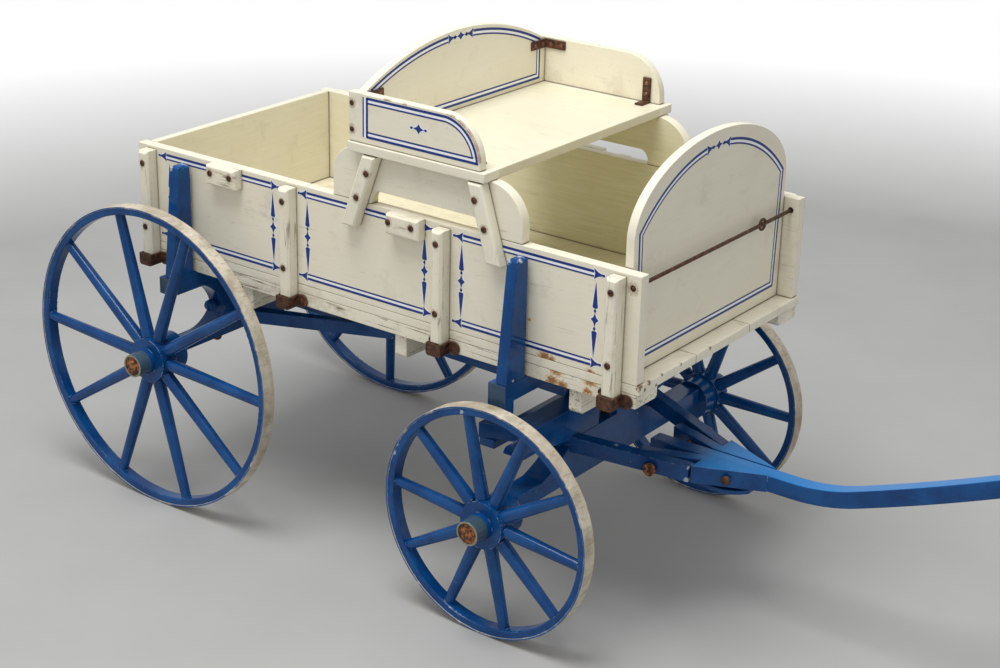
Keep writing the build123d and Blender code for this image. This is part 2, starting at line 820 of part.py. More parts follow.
def seat_arm():
    """Arm board with a rounded nose."""
    outline = Polyline(
        (seat_rear_x, seat_top_z), (seat_rear_x + arm_length, seat_top_z),
        (seat_rear_x + arm_length, seat_top_z + arm_height),
        (seat_rear_x, seat_top_z + arm_height), close=True)
    arm = along_x(upright(arm_outset + arm_thickness / 2), outline, arm_thickness)
    nose = arm.edges().filter_by(Axis.Y).sort_by(Axis.X)[-2:].sort_by(Axis.Z)[-1]
    return fillet(nose, arm_nose_radius)


def seat_back():
    half = arm_outset
    shoulder = seat_top_z + back_shoulder_height
    side = Polyline((-half, shoulder), (-half, seat_top_z), (half, seat_top_z), (half, shoulder))
    crown = ThreePointArc((half, shoulder), (0, shoulder + back_arch_height), (-half, shoulder))
    outline = side + crown
    x = seat_rear_x + back_rear_inset + back_thickness / 2
    return along_x(cross(x), outline, back_thickness)


def seat_cleats():
    """Slanted cleats that tie the riser to the seat and straddle the side board."""
    cleats = []
    z1 = seat_top_z - seat_thickness - seat_cleat_top_gap
    z0 = box_top_z - seat_cleat_foot_drop
    rows = ((seat_cleat_rear_top_x, seat_cleat_rear_foot_x),
            (seat_cleat_front_top_x, seat_cleat_front_foot_x))
    for top_x, foot_x in rows:
        half = seat_cleat_width / 2
        outline = Polyline((top_x - half, z1), (foot_x - half, z0),
                           (foot_x + half, z0), (top_x + half, z1), close=True)
        y = box_width / 2 + seat_rest_gap + seat_cleat_depth / 2
        cleat = along_x(upright(y), outline, seat_cleat_depth)
        outer = cleat.faces().sort_by(Axis.Y)[-1]
        cleats.append(chamfer(outer.edges(), seat_cleat_chamfer))
    return cleats


def back_strap():
    """Iron corner strap from the back to the arm, inside the corner."""
    x0 = seat_rear_x + back_rear_inset + back_thickness
    y1 = arm_outset
    z1 = seat_top_z + arm_height - strap_thickness
    z0 = z1 - strap_width
    on_back = bar(x0, x0 + strap_thickness, y1 - strap_leg, y1, z0, z1)
    on_arm = bar(x0, x0 + strap_leg, y1 - strap_thickness, y1, z0, z1)
    return on_back + on_arm


def angle_iron():
    """Angle iron at the front of an arm, screwed to the seat board."""
    x0 = seat_rear_x + angle_iron_place
    y1 = arm_outset
    z0 = seat_top_z
    leg = bar(x0, x0 + strap_width, y1 - strap_thickness, y1, z0, z0 + angle_iron_leg)
    foot = bar(x0, x0 + strap_width, y1 - angle_iron_foot, y1, z0, z0 + strap_thickness)
    return leg + foot


def wheel_nodes(name, radius, x, side, phase):
    """Tyre, wood and hub of one wheel; side is -1 on the right, phase turns the spokes."""
    place = Pos(x, side * wheel_centre_y, radius)
    turned = hub() if side < 0 else mirrored(hub())
    return {
        "tyre_" + name: [place * tyre(radius)],
        "wheel_" + name: [place * felloe_and_spokes(radius, phase)],
        "hub_" + name: [place * turned],
    }


def all_nodes():
    nodes = {
        "floor_boards": floor_boards(),
        "side_sills": pair(side_sill()),
        "cross_sills": cross_sills(),
        "side_board_left": [side_board()],
        "side_board_right": [mirrored(side_board())],
        "side_cleats": [p for c in side_cleats() for p in pair(c)],
        "stop_blocks": [p for c in stop_blocks() for p in pair(c)],
        "stake_pockets": [p for c in stake_pockets() for p in pair(c)],
        "front_rod": [front_rod()],
        "tailgate": [tailgate()],
        "dash_panel": [dash_panel()],
        "rear_bolster": [rear_bolster()],
        "front_bolster": [front_bolster()],
        "rear_stakes": pair(stake(rear_bolster_x)),
        "front_stakes": pair(stake(front_bolster_x)),
        "rear_axle": [rear_axle()],
        "rear_axle_rod": [axle_rod(0, rear_axle_z)],
        "rear_axle_nuts": pair(axle_nut(0, rear_axle_z)),
        "reach": [reach()],
        "rear_hounds": pair(rear_hound()),
        "king_pin": [king_pin()],
        "front_axle": [front_axle()],
        "front_axle_rod": [axle_rod(wheelbase, front_axle_z)],
        "front_axle_nuts": pair(axle_nut(wheelbase, front_axle_z)),
        "sand_board": [sand_board()],
        "front_hounds": pair(front_hound()),
        "sway_bar": [sway_bar()],
        "hound_bolt": [hound_bolt()],
        "tongue_pole": [tongue_pole()],
        "tongue_cheeks": pair(tongue_cheek()),
        "tongue_strap": [tongue_strap()],
        "tongue_eye": [tongue_eye()],
        "seat_board": [seat_board()],
        "seat_back": [seat_back()],
        "seat_arms": pair(seat_arm()),
        "seat_risers": pair(riser()),
        "seat_cleats": [p for c in seat_cleats() for p in pair(c)],
        "seat_straps": pair(back_strap()),
        "seat_angle_irons": pair(angle_iron()),
    }
    for name, radius, x, side, phase in wheel_rows:
        nodes.update(wheel_nodes(name, radius, x, side, phase))
    return nodes


def centre_shift():
    """How far everything moves along X so that the whole is centred."""
    end, way = tongue_tip()
    reach_out = tongue_iron_thickness + tongue_eye_outer_radius
    front_x = end.X + way.X * reach_out + tongue_eye_outer_radius
    return -(front_x - rear_wheel_radius) / 2


def main():
    os.makedirs("parts", exist_ok=True)
    shift = Pos(centre_shift(), 0, 0)
    for name, solids in all_nodes().items():
        moved = [shift * solid for piece in solids for solid in piece.solids()]
        shape = moved[0] if len(moved) == 1 else Compound(children=moved)
        export_step(shape, "parts/" + name + ".step")


main()
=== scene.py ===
import math

import bmesh
import bpy
from mathutils import Matrix, Vector


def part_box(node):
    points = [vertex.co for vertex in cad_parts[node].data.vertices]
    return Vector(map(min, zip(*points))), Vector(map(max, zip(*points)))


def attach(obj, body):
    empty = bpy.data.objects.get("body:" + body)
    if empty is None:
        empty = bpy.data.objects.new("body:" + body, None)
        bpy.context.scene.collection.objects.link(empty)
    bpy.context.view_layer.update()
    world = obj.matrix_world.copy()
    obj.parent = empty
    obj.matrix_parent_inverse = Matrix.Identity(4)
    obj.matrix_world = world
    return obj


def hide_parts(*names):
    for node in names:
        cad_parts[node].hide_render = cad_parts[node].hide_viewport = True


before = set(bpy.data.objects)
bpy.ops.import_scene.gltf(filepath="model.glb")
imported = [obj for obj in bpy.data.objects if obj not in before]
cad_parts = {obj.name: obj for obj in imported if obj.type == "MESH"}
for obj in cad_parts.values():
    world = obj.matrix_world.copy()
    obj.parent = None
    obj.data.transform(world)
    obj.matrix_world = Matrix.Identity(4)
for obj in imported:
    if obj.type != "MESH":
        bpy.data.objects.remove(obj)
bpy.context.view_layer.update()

# Looks of a goat cart: paint, striping, screws and iron fittings.
# Pieces are drawn in millimetres, with x from the rear axle as in the solids.
MM = 0.001
rear_axle_lo, rear_axle_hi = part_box("rear_axle_rod")
REAR_AXLE_X = (rear_axle_lo.x + rear_axle_hi.x) / 2
SIDES = ((-1, "right"), (1, "left"))


def place(x, y, z):
    """A point in millimetres from the rear axle, as a point of the scene in metres."""
    return Vector((REAR_AXLE_X + x * MM, y * MM, z * MM))


def node_box(node):
    """Lowest and highest corner of a solid, in millimetres from the rear axle."""
    lo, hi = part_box(node)
    origin = Vector((REAR_AXLE_X, 0, 0))
    return (lo - origin) / MM, (hi - origin) / MM


def outer_y(node):
    """How far out to the side a solid reaches, in millimetres."""
    lo, hi = node_box(node)
    return max(abs(lo.y), abs(hi.y))


# Places read from the solids
side_lo, side_hi = node_box("side_board_right")
dash_lo, dash_hi = node_box("dash_panel")
back_lo, back_hi = node_box("seat_back")
floor_lo, floor_hi = node_box("floor_boards")
seat_lo = node_box("seat_board")[0]
SIDE_INNER_Y = min(abs(side_lo.y), abs(side_hi.y))

# Colours, as linear values
CREAM = (0.86, 0.81, 0.66)
CREAM_AGED = (0.79, 0.73, 0.53)
CREAM_LIGHT = (0.90, 0.86, 0.73)
# Painted shade: a darker, yellower cream for the inside of the box, standing in for shade and bounce light
CREAM_INSIDE_SHADED = (0.62, 0.575, 0.33)
BARE_WOOD = (0.20, 0.13, 0.075)
# Painted shade of narrow creases
PAINTED_CREVICE_SHADE = (0.13, 0.105, 0.07)
# Smudges, and painted shade of wide corners
SMUDGE_AND_CORNER_SHADE = (0.42, 0.36, 0.25)
STAIN_BROWN = (0.30, 0.20, 0.10)
RUST_STAIN = (0.56, 0.31, 0.12)
RUST_CORE = (0.24, 0.095, 0.03)
BLUE = (0.002, 0.046, 0.180)
BLUE_RUBBED = (0.005, 0.088, 0.29)
BLUE_DEEP = (0.002, 0.012, 0.055)
# Painted sunlight on the tongue's tops
BLUE_PAINTED_SUNLIT = (0.004, 0.205, 0.58)
NICK_PALE = (0.42, 0.50, 0.56)
END_GRAIN = (0.055, 0.085, 0.085)
RING_PALE = (0.46, 0.39, 0.22)
LINE_NAVY = (0.001, 0.026, 0.215)
LINE_WHITE = (0.92, 0.93, 0.94)
IRON_DARK = (0.030, 0.018, 0.014)
RUST = (0.140, 0.055, 0.027)
RUST_BRIGHT = (0.46, 0.165, 0.045)
BAND = (0.40, 0.34, 0.25)
BAND_WORN = (0.68, 0.62, 0.50)
BAND_DIRT = (0.22, 0.155, 0.085)
FLOOR_TONE = (0.46, 0.46, 0.447)


# Shader helpers

# Sockets of a colour mix: its share, its two colours and its result
MIX_SHARE, MIX_FIRST, MIX_SECOND, MIX_RESULT = 0, 6, 7, 2
# Most values of a noise lie between these two
NOISE_SPAN = (0.3, 0.7)
EDGE_SAMPLES = 6


def add(tree, kind, inputs=None, **settings):
    """One shader node with its settings, its values and its links."""
    node = tree.nodes.new("ShaderNode" + kind)
    for key, value in settings.items():
        setattr(node, key, value)
    for key, value in (inputs or {}).items():
        if isinstance(value, bpy.types.NodeSocket):
            tree.links.new(value, node.inputs[key])
        else:
            node.inputs[key].default_value = value
    return node


def rest_place(tree):
    """Coordinates of the object at rest."""
    return add(tree, "TexCoord").outputs["Object"]


def rest_xyz(tree):
    """The same coordinates as separate sockets X, Y and Z."""
    return add(tree, "SeparateXYZ", {0: rest_place(tree)}).outputs


def noise(tree, scale, detail=3.0, roughness=0.55, stretch=(1, 1, 1)):
    """A noise that is fixed to the object at rest; stretch draws it out along the grain."""
    vector = add(tree, "Mapping", {"Vector": rest_place(tree), "Scale": stretch}).outputs[0]
    values = {"Vector": vector, "Scale": scale, "Detail": detail, "Roughness": roughness}
    return add(tree, "TexNoise", values).outputs[0]


def span(tree, value, low, high, to_low=0.0, to_high=1.0):
    """A value taken from one range to another, and held inside it."""
    values = {"Value": value, "From Min": low, "From Max": high, "To Min": to_low, "To Max": to_high}
    return add(tree, "MapRange", values).outputs[0]


def blend(tree, share, first, second):
    """Mix two colours; each is a colour or a socket."""
    values = {MIX_SHARE: share}
    for index, value in ((MIX_FIRST, first), (MIX_SECOND, second)):
        values[index] = value if isinstance(value, bpy.types.NodeSocket) else (*value, 1.0)
    return add(tree, "Mix", values, data_type="RGBA").outputs[MIX_RESULT]


def layer(tree, colour, tone, value, low, high, share=1.0):
    """Lay a tone over a colour: none where a value is low, and a share where it is high."""
    return blend(tree, span(tree, value, low, high, 0.0, share), colour, tone)


def math_node(tree, operation, first, second=0.0):
    return add(tree, "Math", {0: first, 1: second}, operation=operation).outputs[0]


def times(tree, first, second):
    return math_node(tree, "MULTIPLY", first, second)


def new_material(name):
    material = bpy.data.materials.new(name)
    material.use_nodes = True
    tree = material.node_tree
    return material, tree, tree.nodes["Principled BSDF"]


def finish_surface(tree, shader, colour, roughness, height, bump):
    """Link colour, roughness and bump to the shader; bump holds its distance and strength."""
    tree.links.new(colour, shader.inputs["Base Color"])
    tree.links.new(roughness, shader.inputs["Roughness"])
    values = {"Height": height, "Distance": bump[0], "Strength": bump[1]}
    tree.links.new(add(tree, "Bump", values).outputs[0], shader.inputs["Normal"])


# Masks: values from 0 to 1 that say where a layer shows

FACE_MARGIN = 1.0
END_INSET = 20.0
INSIDE_FADE = 60.0
# Shares of painted shade inside the box at its open rear and in front
INSIDE_REAR = 0.28
INSIDE_FRONT = 0.80
SPOT_GRAIN = 260.0
SPOT_CORE = 0.55
CRACK_GRAIN = 95.0
CRACK_WIDTH = 0.012
CRACK_PATCH_GRAIN = 26.0
# Stretch of a texture for grain that runs along x, y or z, and of long cracks
GRAIN = {"x": (0.06, 1, 1), "y": (1, 0.06, 1), "z": (1, 1, 0.06), "round": (1, 1, 1)}
CRACKS = {"x": (0.03, 1, 1), "y": (1, 0.03, 1), "z": (1, 1, 0.03)}
BAND_STRETCH = (1, 0.15, 1)


def edge_mask(tree, radius):
    """How sharp the surface turns within a radius: 0 on flats, towards 1 at edges."""
    rounded = add(tree, "Bevel", {"Radius": radius}, samples=EDGE_SAMPLES).outputs[0]
    flat = add(tree, "NewGeometry").outputs["Normal"]
    turn = add(tree, "VectorMath", {0: rounded, 1: flat}, operation="DOT_PRODUCT")
    return math_node(tree, "SUBTRACT", 1.0, turn.outputs["Value"])


def crevice_mask(tree, distance):
    """Towards 1 where other surfaces stand close."""
    opening = add(tree, "AmbientOcclusion", {"Distance": distance}, samples=EDGE_SAMPLES)
    return span(tree, opening.outputs["AO"], 0.25, 0.95, 1.0, 0.0)


def inside_mask(tree):
    """1 on the faces that look into the box, and 0 outside it."""
    parts = rest_xyz(tree)
    low = place(floor_lo.x + END_INSET, 0, floor_hi.z - FACE_MARGIN)
    high = place(dash_lo.x + FACE_MARGIN, 0, seat_lo.z)
    half = (SIDE_INNER_Y + FACE_MARGIN) * MM
    fade = INSIDE_FADE * MM
    mask = math_node(tree, "LESS_THAN", math_node(tree, "ABSOLUTE", parts["Y"]), half)
    mask = times(tree, mask, span(tree, parts["Z"], high.z - fade, high.z + fade, 1.0, 0.0))
    for axis, test, limit in (("X", "GREATER_THAN", low.x), ("X", "LESS_THAN", high.x),
                              ("Z", "GREATER_THAN", low.z)):
        mask = times(tree, mask, math_node(tree, test, parts[axis], limit))
    return mask


def interior_shade_share(tree):
    """How much painted shade and yellow bounce light the inside of the box gets: less at the open rear,
    more in front.
    """
    rear = place(back_lo.x - INSIDE_FADE, 0, 0).x
    front = place(back_lo.x + INSIDE_FADE, 0, 0).x
    along = span(tree, rest_xyz(tree)["X"], rear, front, INSIDE_REAR, INSIDE_FRONT)
    return times(tree, inside_mask(tree), along)


def spot_mask(tree, spots, mirrored=True, ragged=0.35, stretch=1.0):
    """Towards 1 at places given as (x, y, z, radius) in millimetres, with a ragged edge."""
    where = rest_place(tree)
    squeeze = Vector((1 / stretch, 1, 1))
    if mirrored:
        parts = rest_xyz(tree)
        depth = math_node(tree, "ABSOLUTE", parts["Y"])
        where = add(tree, "CombineXYZ", {0: parts["X"], 1: depth, 2: parts["Z"]}).outputs[0]
    where = add(tree, "VectorMath", {0: where, 1: tuple(squeeze)}, operation="MULTIPLY").outputs[0]
    nearest = None
    for x, y, z, radius in spots:
        centre = place(x, abs(y) if mirrored else y, z) * squeeze
        gap = add(tree, "VectorMath", {0: where, 1: tuple(centre)}, operation="DISTANCE")
        share = math_node(tree, "DIVIDE", gap.outputs["Value"], radius * MM)
        nearest = share if nearest is None else math_node(tree, "MINIMUM", nearest, share)
    rough = noise(tree, SPOT_GRAIN, 5.0, 0.7)
    nearest = math_node(tree, "ADD", nearest, span(tree, rough, *NOISE_SPAN, -ragged, ragged))
    return span(tree, nearest, SPOT_CORE, 1.0, 1.0, 0.0)


def beyond_mask(tree, limit):
    """1 where the surface lies further out to either side than a limit in millimetres."""
    depth = math_node(tree, "ABSOLUTE", rest_xyz(tree)["Y"])
    return math_node(tree, "GREATER_THAN", depth, limit * MM)


def facing_mask(tree, axis, low, high, both_ways):
    """Towards 1 on faces that look along an axis of the object."""
    turned = add(tree, "TexCoord").outputs["Normal"]
    value = add(tree, "SeparateXYZ", {0: turned}).outputs[axis]
    if both_ways:
        value = math_node(tree, "ABSOLUTE", value)
    return span(tree, value, low, high)


def crack_mask(tree, grain, age):
    """Thin lines along the grain, gathered in patches that spread with age."""
    lines = noise(tree, CRACK_GRAIN, 2.0, 0.5, CRACKS[grain])
    near = math_node(tree, "ABSOLUTE", math_node(tree, "SUBTRACT", lines, 0.5))
    thin = span(tree, near, 0.0, CRACK_WIDTH * (1 + age), 1.0, 0.0)
    patches = noise(tree, CRACK_PATCH_GRAIN)
    return times(tree, thin, span(tree, patches, 0.50 - 0.10 * age, 0.64 - 0.10 * age))


# Paints. A noise's numbers are its scale, detail and roughness, and a layer's or span's are
# the limits of the value and the shares that it becomes. Distances are in metres.

WIDE_CREVICE = 0.014
NARROW_CREVICE = 0.003
BLUE_CREVICE = 0.01
CHIPPED_EDGE = 0.0025
RUBBED_EDGE = 0.006
NICKED_EDGE = 0.0022
BAND_EDGE = 0.002
# Distance and strength of the bump of each finish
CREAM_BUMP = (0.0004, 0.4)
BLUE_BUMP = (0.0005, 0.35)
IRON_BUMP = (0.0006, 0.6)
BAND_BUMP = (0.0006, 0.5)
LINE_BUMP = (0.0002, 0.3)
CRACK_DEPTH = 1.5
RUST_STRETCH = 1.5
RUST_CORE_SHARE = 0.6
RING_SHARE = 0.5
BLUE_SHINE = 0.34
IRON_METAL = 0.35
# The tongue's top gets painted sunlight in front of the first of these places along the wagon, where the
# box's shadow ends
SUNLIT_START = 845
SUNLIT_FULL = 880


def cream_coat(tree, streaks):
    """The coat: yellowed patches, brush marks, and painted shade and bounce light that make the inside of
    the box darker and yellower.
    """
    clouds = noise(tree, 7.0, 4.0)
    colour = layer(tree, CREAM, CREAM_AGED, clouds, 0.35, 0.7, 0.4)
    # Painted shade and bounce light: the inside of the box is mixed towards the darker, yellower cream
    colour = blend(tree, interior_shade_share(tree), colour, CREAM_INSIDE_SHADED)
    return layer(tree, colour, CREAM_LIGHT, streaks, 0.35, 0.75, 0.35)


def cream_dirt_and_shade(tree, colour, scuffs, lines, age):
    """Smudges, dark specks, cracks, and painted shade in the corners from ambient occlusion."""
    smudges = noise(tree, 21.0, 6.0, 0.68)
    specks = noise(tree, 420.0, 2.0)
    colour = layer(tree, colour, SMUDGE_AND_CORNER_SHADE, smudges, 0.56 - 0.06 * age, 0.78 - 0.06 * age, 0.30 + 0.25 * age)
    colour = layer(tree, colour, BARE_WOOD, specks, 0.71 - 0.04 * age, 0.76 - 0.04 * age, 0.5 + 0.3 * age)
    colour = blend(tree, lines, colour, BARE_WOOD)
    # Painted shade: ambient occlusion darkens wide corners in patches and narrow creases strongly
    wide = times(tree, crevice_mask(tree, WIDE_CREVICE), span(tree, scuffs, *NOISE_SPAN, 0.1, 0.5))
    colour = blend(tree, wide, colour, SMUDGE_AND_CORNER_SHADE)
    return blend(tree, times(tree, crevice_mask(tree, NARROW_CREVICE), 0.85), colour, PAINTED_CREVICE_SHADE)


def cream_spots(tree, colour, stains, rust, chips):
    """Brown halos round screws, rust stains with a dark core, and chips down to the wood."""
    if stains:
        colour = blend(tree, times(tree, spot_mask(tree, stains), 0.55), colour, STAIN_BROWN)
    if rust:
        cores = [(x, y, z, radius * RUST_CORE_SHARE) for x, y, z, radius in rust]
        for spots, ragged, share, tone in ((rust, 0.45, 0.9, RUST_STAIN), (cores, 0.6, 0.75, RUST_CORE)):
            mask = spot_mask(tree, spots, False, ragged, RUST_STRETCH)
            colour = blend(tree, times(tree, mask, share), colour, tone)
    if chips:
        colour = blend(tree, spot_mask(tree, chips, False, 0.6), colour, BARE_WOOD)
    return colour


def cream_edges(tree, colour, scuffs, age, rubbed):
    """Edges that are chipped here and there, and bare near the rubbed places."""
    worn = span(tree, scuffs, 0.50 - 0.05 * age, 0.58 - 0.05 * age)
    edges = times(tree, edge_mask(tree, CHIPPED_EDGE), worn)
    colour = layer(tree, colour, BARE_WOOD, edges, 0.07, 0.13)
    if rubbed:
        bare = span(tree, edge_mask(tree, RUBBED_EDGE), 0.004, 0.022, 0.0, 0.9)
        bare = times(tree, bare, spot_mask(tree, rubbed, False, 0.5))
        colour = blend(tree, bare, colour, RUST_CORE)
    return colour


def cream_paint(name, grain, cracks=0.35, age=0.0, stains=(), rust=(), chips=(), rubbed=()):
    """Old cream enamel on wood: brush marks, yellowing, cracks, smudges, chipped edges, and painted shade
    inside the box and in corners.

    The age goes from 0 to 1 and spreads cracks, smudges, specks and worn edges.
    """
    material, tree, shader = new_material(name)
    streaks = noise(tree, 260.0, 4.0, stretch=GRAIN[grain])
    scuffs = noise(tree, 58.0, 6.0, 0.72)
    lines = times(tree, crack_mask(tree, grain, age), cracks)
    colour = cream_coat(tree, streaks)
    colour = cream_dirt_and_shade(tree, colour, scuffs, lines, age)
    colour = cream_spots(tree, colour, stains, rust, chips)
    colour = cream_edges(tree, colour, scuffs, age, rubbed)
    roughness = span(tree, streaks, 0.2, 0.8, 0.30, 0.48)
    height = math_node(tree, "SUBTRACT", streaks, times(tree, lines, CRACK_DEPTH))
    finish_surface(tree, shader, colour, roughness, height, CREAM_BUMP)
    return material


def painted_sunlit_tops(tree, colour, share):
    """Painted sunlight: a lighter blue on the top faces in front of the hinge, where the box's shadow ends.
    """
    start = place(SUNLIT_START, 0, 0).x
    along = span(tree, rest_xyz(tree)["X"], start, place(SUNLIT_FULL, 0, 0).x, 0.0, share)
    tops = times(tree, facing_mask(tree, "Z", 0.7, 0.9, False), along)
    return blend(tree, tops, colour, BLUE_PAINTED_SUNLIT)


def blue_wear(tree, colour, scuffs, rust, chips):
    """Rust stains, chips, fine nicks and pale edges."""
    nicks = noise(tree, 150.0, 3.0, 0.6)
    for spots, ragged, tone in ((rust, 0.7, RUST_BRIGHT), (chips, 0.5, NICK_PALE)):
        if spots:
            colour = blend(tree, spot_mask(tree, spots, False, ragged), colour, tone)
    colour = layer(tree, colour, NICK_PALE, nicks, 0.735, 0.76, 0.7)
    edges = times(tree, edge_mask(tree, NICKED_EDGE), span(tree, scuffs, 0.50, 0.58))
    return layer(tree, colour, NICK_PALE, edges, 0.06, 0.12, 0.8)


def blue_paint(name, grain, painted_sunlight=0.0, crevice_shade=1.0, bare_from=0.0, ring_from=0.0, chips=(), rust=()):
    """Glossy blue enamel on wood: brush marks, rubbed areas, pale nicks and edges, with painted shade in
    crevices and painted sunlight on the tongue's tops.

    Further out to the sides than bare_from the end grain shows, and than ring_from a pale ring.
    """
    material, tree, shader = new_material(name)
    streaks = noise(tree, 220.0, 4.0, stretch=GRAIN[grain])
    clouds = noise(tree, 16.0, 5.0, 0.6)
    scuffs = noise(tree, 75.0, 6.0, 0.72)
    colour = layer(tree, BLUE, BLUE_RUBBED, clouds, 0.42, 0.66, 0.75)
    colour = layer(tree, colour, BLUE_DEEP, streaks, 0.55, 0.8, 0.45)
    # Painted sunlight on the tops of the tongue in front of the box's shadow
    if painted_sunlight > 0:
        colour = painted_sunlit_tops(tree, colour, painted_sunlight)
    if bare_from > 0:
        ends = times(tree, beyond_mask(tree, bare_from), span(tree, clouds, *NOISE_SPAN, 0.45, 0.95))
        colour = blend(tree, ends, colour, END_GRAIN)
    # Painted shade: ambient occlusion darkens crevices towards deep blue
    if crevice_shade > 0:
        shade = span(tree, scuffs, *NOISE_SPAN, 0.1, 0.6 * crevice_shade)
        colour = blend(tree, times(tree, crevice_mask(tree, BLUE_CREVICE), shade), colour, BLUE_DEEP)
    if ring_from > 0:
        colour = blend(tree, times(tree, beyond_mask(tree, ring_from), RING_SHARE), colour, RING_PALE)
    colour = blue_wear(tree, colour, scuffs, rust, chips)
    shader.inputs["Specular IOR Level"].default_value = BLUE_SHINE
    finish_surface(tree, shader, colour, span(tree, clouds, *NOISE_SPAN, 0.10, 0.25), streaks, BLUE_BUMP)
    return material


def rusty_iron(name, bright=0.3, lift=1.0):
    """Brown rusted iron with brighter blooms and dark pits; lift makes all of it paler."""
    material, tree, shader = new_material(name)
    blooms = noise(tree, 150.0, 6.0, 0.65)
    pits = noise(tree, 620.0, 3.0)
    dark = tuple(value * lift for value in IRON_DARK)
    brown = tuple(value * lift for value in RUST)
    colour = layer(tree, dark, brown, blooms, 0.36, 0.60)
    colour = layer(tree, colour, RUST_BRIGHT, blooms, 0.60 - 0.14 * bright, 0.74 - 0.14 * bright, bright)
    colour = layer(tree, colour, dark, pits, 0.58, 0.72, 0.7)
    shader.inputs["Metallic"].default_value = IRON_METAL
    finish_surface(tree, shader, colour, span(tree, pits, *NOISE_SPAN, 0.40, 0.75), pits, IRON_BUMP)
    return material


def tyre_paint(name):
    """Wheel band: worn beige tread, blue sides with rusty edges."""
    material, tree, shader = new_material(name)
    scratches = noise(tree, 300.0, 4.0, stretch=BAND_STRETCH)
    clouds = noise(tree, 34.0, 6.0, 0.68)
    patches = noise(tree, 11.0, 4.0)
    colour = layer(tree, BAND, BAND_WORN, clouds, 0.35, 0.65)
    colour = layer(tree, colour, BAND_DIRT, patches, 0.48, 0.66, 0.55)
    colour = layer(tree, colour, BAND_DIRT, scratches, 0.56, 0.72, 0.6)
    sides = times(tree, facing_mask(tree, "Y", 0.80, 0.92, True), span(tree, clouds, 0.52, 0.64, 1.0, 0.25))
    colour = blend(tree, sides, colour, BLUE_RUBBED)
    edges = times(tree, edge_mask(tree, BAND_EDGE), span(tree, clouds, 0.52, 0.66))
    colour = layer(tree, colour, RUST, edges, 0.08, 0.2, 0.6)
    roughness = span(tree, scratches, *NOISE_SPAN, 0.5, 0.75)
    finish_surface(tree, shader, colour, roughness, scratches, BAND_BUMP)
    return material


def line_paint(name, tone, under):
    """Hand-drawn striping, worn through to the cream below in places."""
    material, tree, shader = new_material(name)
    strokes = noise(tree, 180.0, 4.0, 0.6)
    worn = noise(tree, 700.0, 3.0)
    colour = layer(tree, tone, under, strokes, 0.60, 0.9, 0.22)
    colour = layer(tree, colour, under, worn, 0.70, 0.76, 0.5)
    finish_surface(tree, shader, colour, span(tree, strokes, *NOISE_SPAN, 0.34, 0.48), worn, LINE_BUMP)
    return material


# Mesh helpers

# Mitred corners reach no further than the distance divided by these
PATH_MITRE = 0.4
OUTLINE_MITRE = 0.45


def close_levels(bm, levels):
    """Faces between rings of points that follow each other, and over both ends."""
    count = len(levels[0])
    for low, high in zip(levels, levels[1:]):
        for index in range(count):
            after = (index + 1) % count
            bm.faces.new((low[index], low[after], high[after], high[index]))
    bm.faces.new(list(reversed(levels[0])))
    bm.faces.new(levels[-1])


def closed_prism(bm, outline, low, high):
    """A closed slab over an outline; low and high turn its points into the two levels."""
    close_levels(bm, [[bm.verts.new(level(point)) for point in outline] for level in (low, high)])


def closed_strip(bm, left, right, low, high):
    """A closed slab between two rails of points, made of four-sided faces."""
    corners = [(low(a), low(b), high(b), high(a)) for a, b in zip(left, right)]
    close_levels(bm, [[bm.verts.new(point) for point in row] for row in corners])


def offset_rail(points, distance):
    """The path moved sideways to its left, with mitred corners."""
    ways = [(after - point).normalized() for point, after in zip(points, points[1:])]
    rail = []
    for point, way_in, way_out in zip(points, ways[:1] + ways, ways + ways[-1:]):
        middle = (way_in + way_out).normalized()
        normal = Vector((-middle.y, middle.x))
        across = Vector((-way_in.y, way_in.x))
        rail.append(point + normal * (distance / max(normal.dot(across), PATH_MITRE)))
    return rail


def grown(outline, distance):
    """A closed outline, drawn anticlockwise, grown outwards."""
    result = []
    for index, point in enumerate(outline):
        way_in = (point - outline[index - 1]).normalized()
        way_out = (outline[(index + 1) % len(outline)] - point).normalized()
        out_in = Vector((way_in.y, -way_in.x))
        out_out = Vector((way_out.y, -way_out.x))
        middle = (out_in + out_out).normalized()
        result.append(point + middle * (distance / max(middle.dot(out_in), OUTLINE_MITRE)))
    return result


def put(name, data):
    """Add an object to the scene."""
    item = bpy.data.objects.new(name, data)
    bpy.context.scene.collection.objects.link(item)
    return item


def piece(name, bm, material, body, smooth=False):
    """Turn a finished bmesh into a piece of the wagon that rides on a body."""
    bmesh.ops.recalc_face_normals(bm, faces=bm.faces)
    mesh = bpy.data.meshes.new(name)
    bm.to_mesh(mesh)
    bm.free()
    if smooth:
        mesh.shade_smooth()
    mesh.materials.append(material)
    item = put(name, mesh)
    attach(item, body)
    return item


# Camera, light and floor

CAMERA_PLACE = (2157.5, -2303.1, 1487.3)
CAMERA_RIGHT = Vector((0.80133993, 0.59776125, 0.02314762))
CAMERA_UP = Vector((-0.24278944, 0.28962398, 0.92583543))
CAMERA_BACK = Vector((0.54672444, -0.74752889, 0.37721738))
CAMERA_LENS = 69.8
SENSOR_WIDTH = 36
LAMP_PLACE = Vector((-0.3, -0.95, 3.4))
LAMP_AIM = Vector((0, 0, 0.3))
LAMP_SIZE = 1.8
LAMP_POWER = 77
WHITE = (1.0, 1.0, 1.0, 1.0)
WORLD_STRENGTH = 0.60
FLOOR_HALF = 30
FLOOR_GRAIN = 2.2
FLOOR_DARKER = 0.9
FLOOR_ROUGHNESS = 0.6
FLOOR_PLAIN_RADIUS = 1.9
FLOOR_WHITE_RADIUS = 3.3


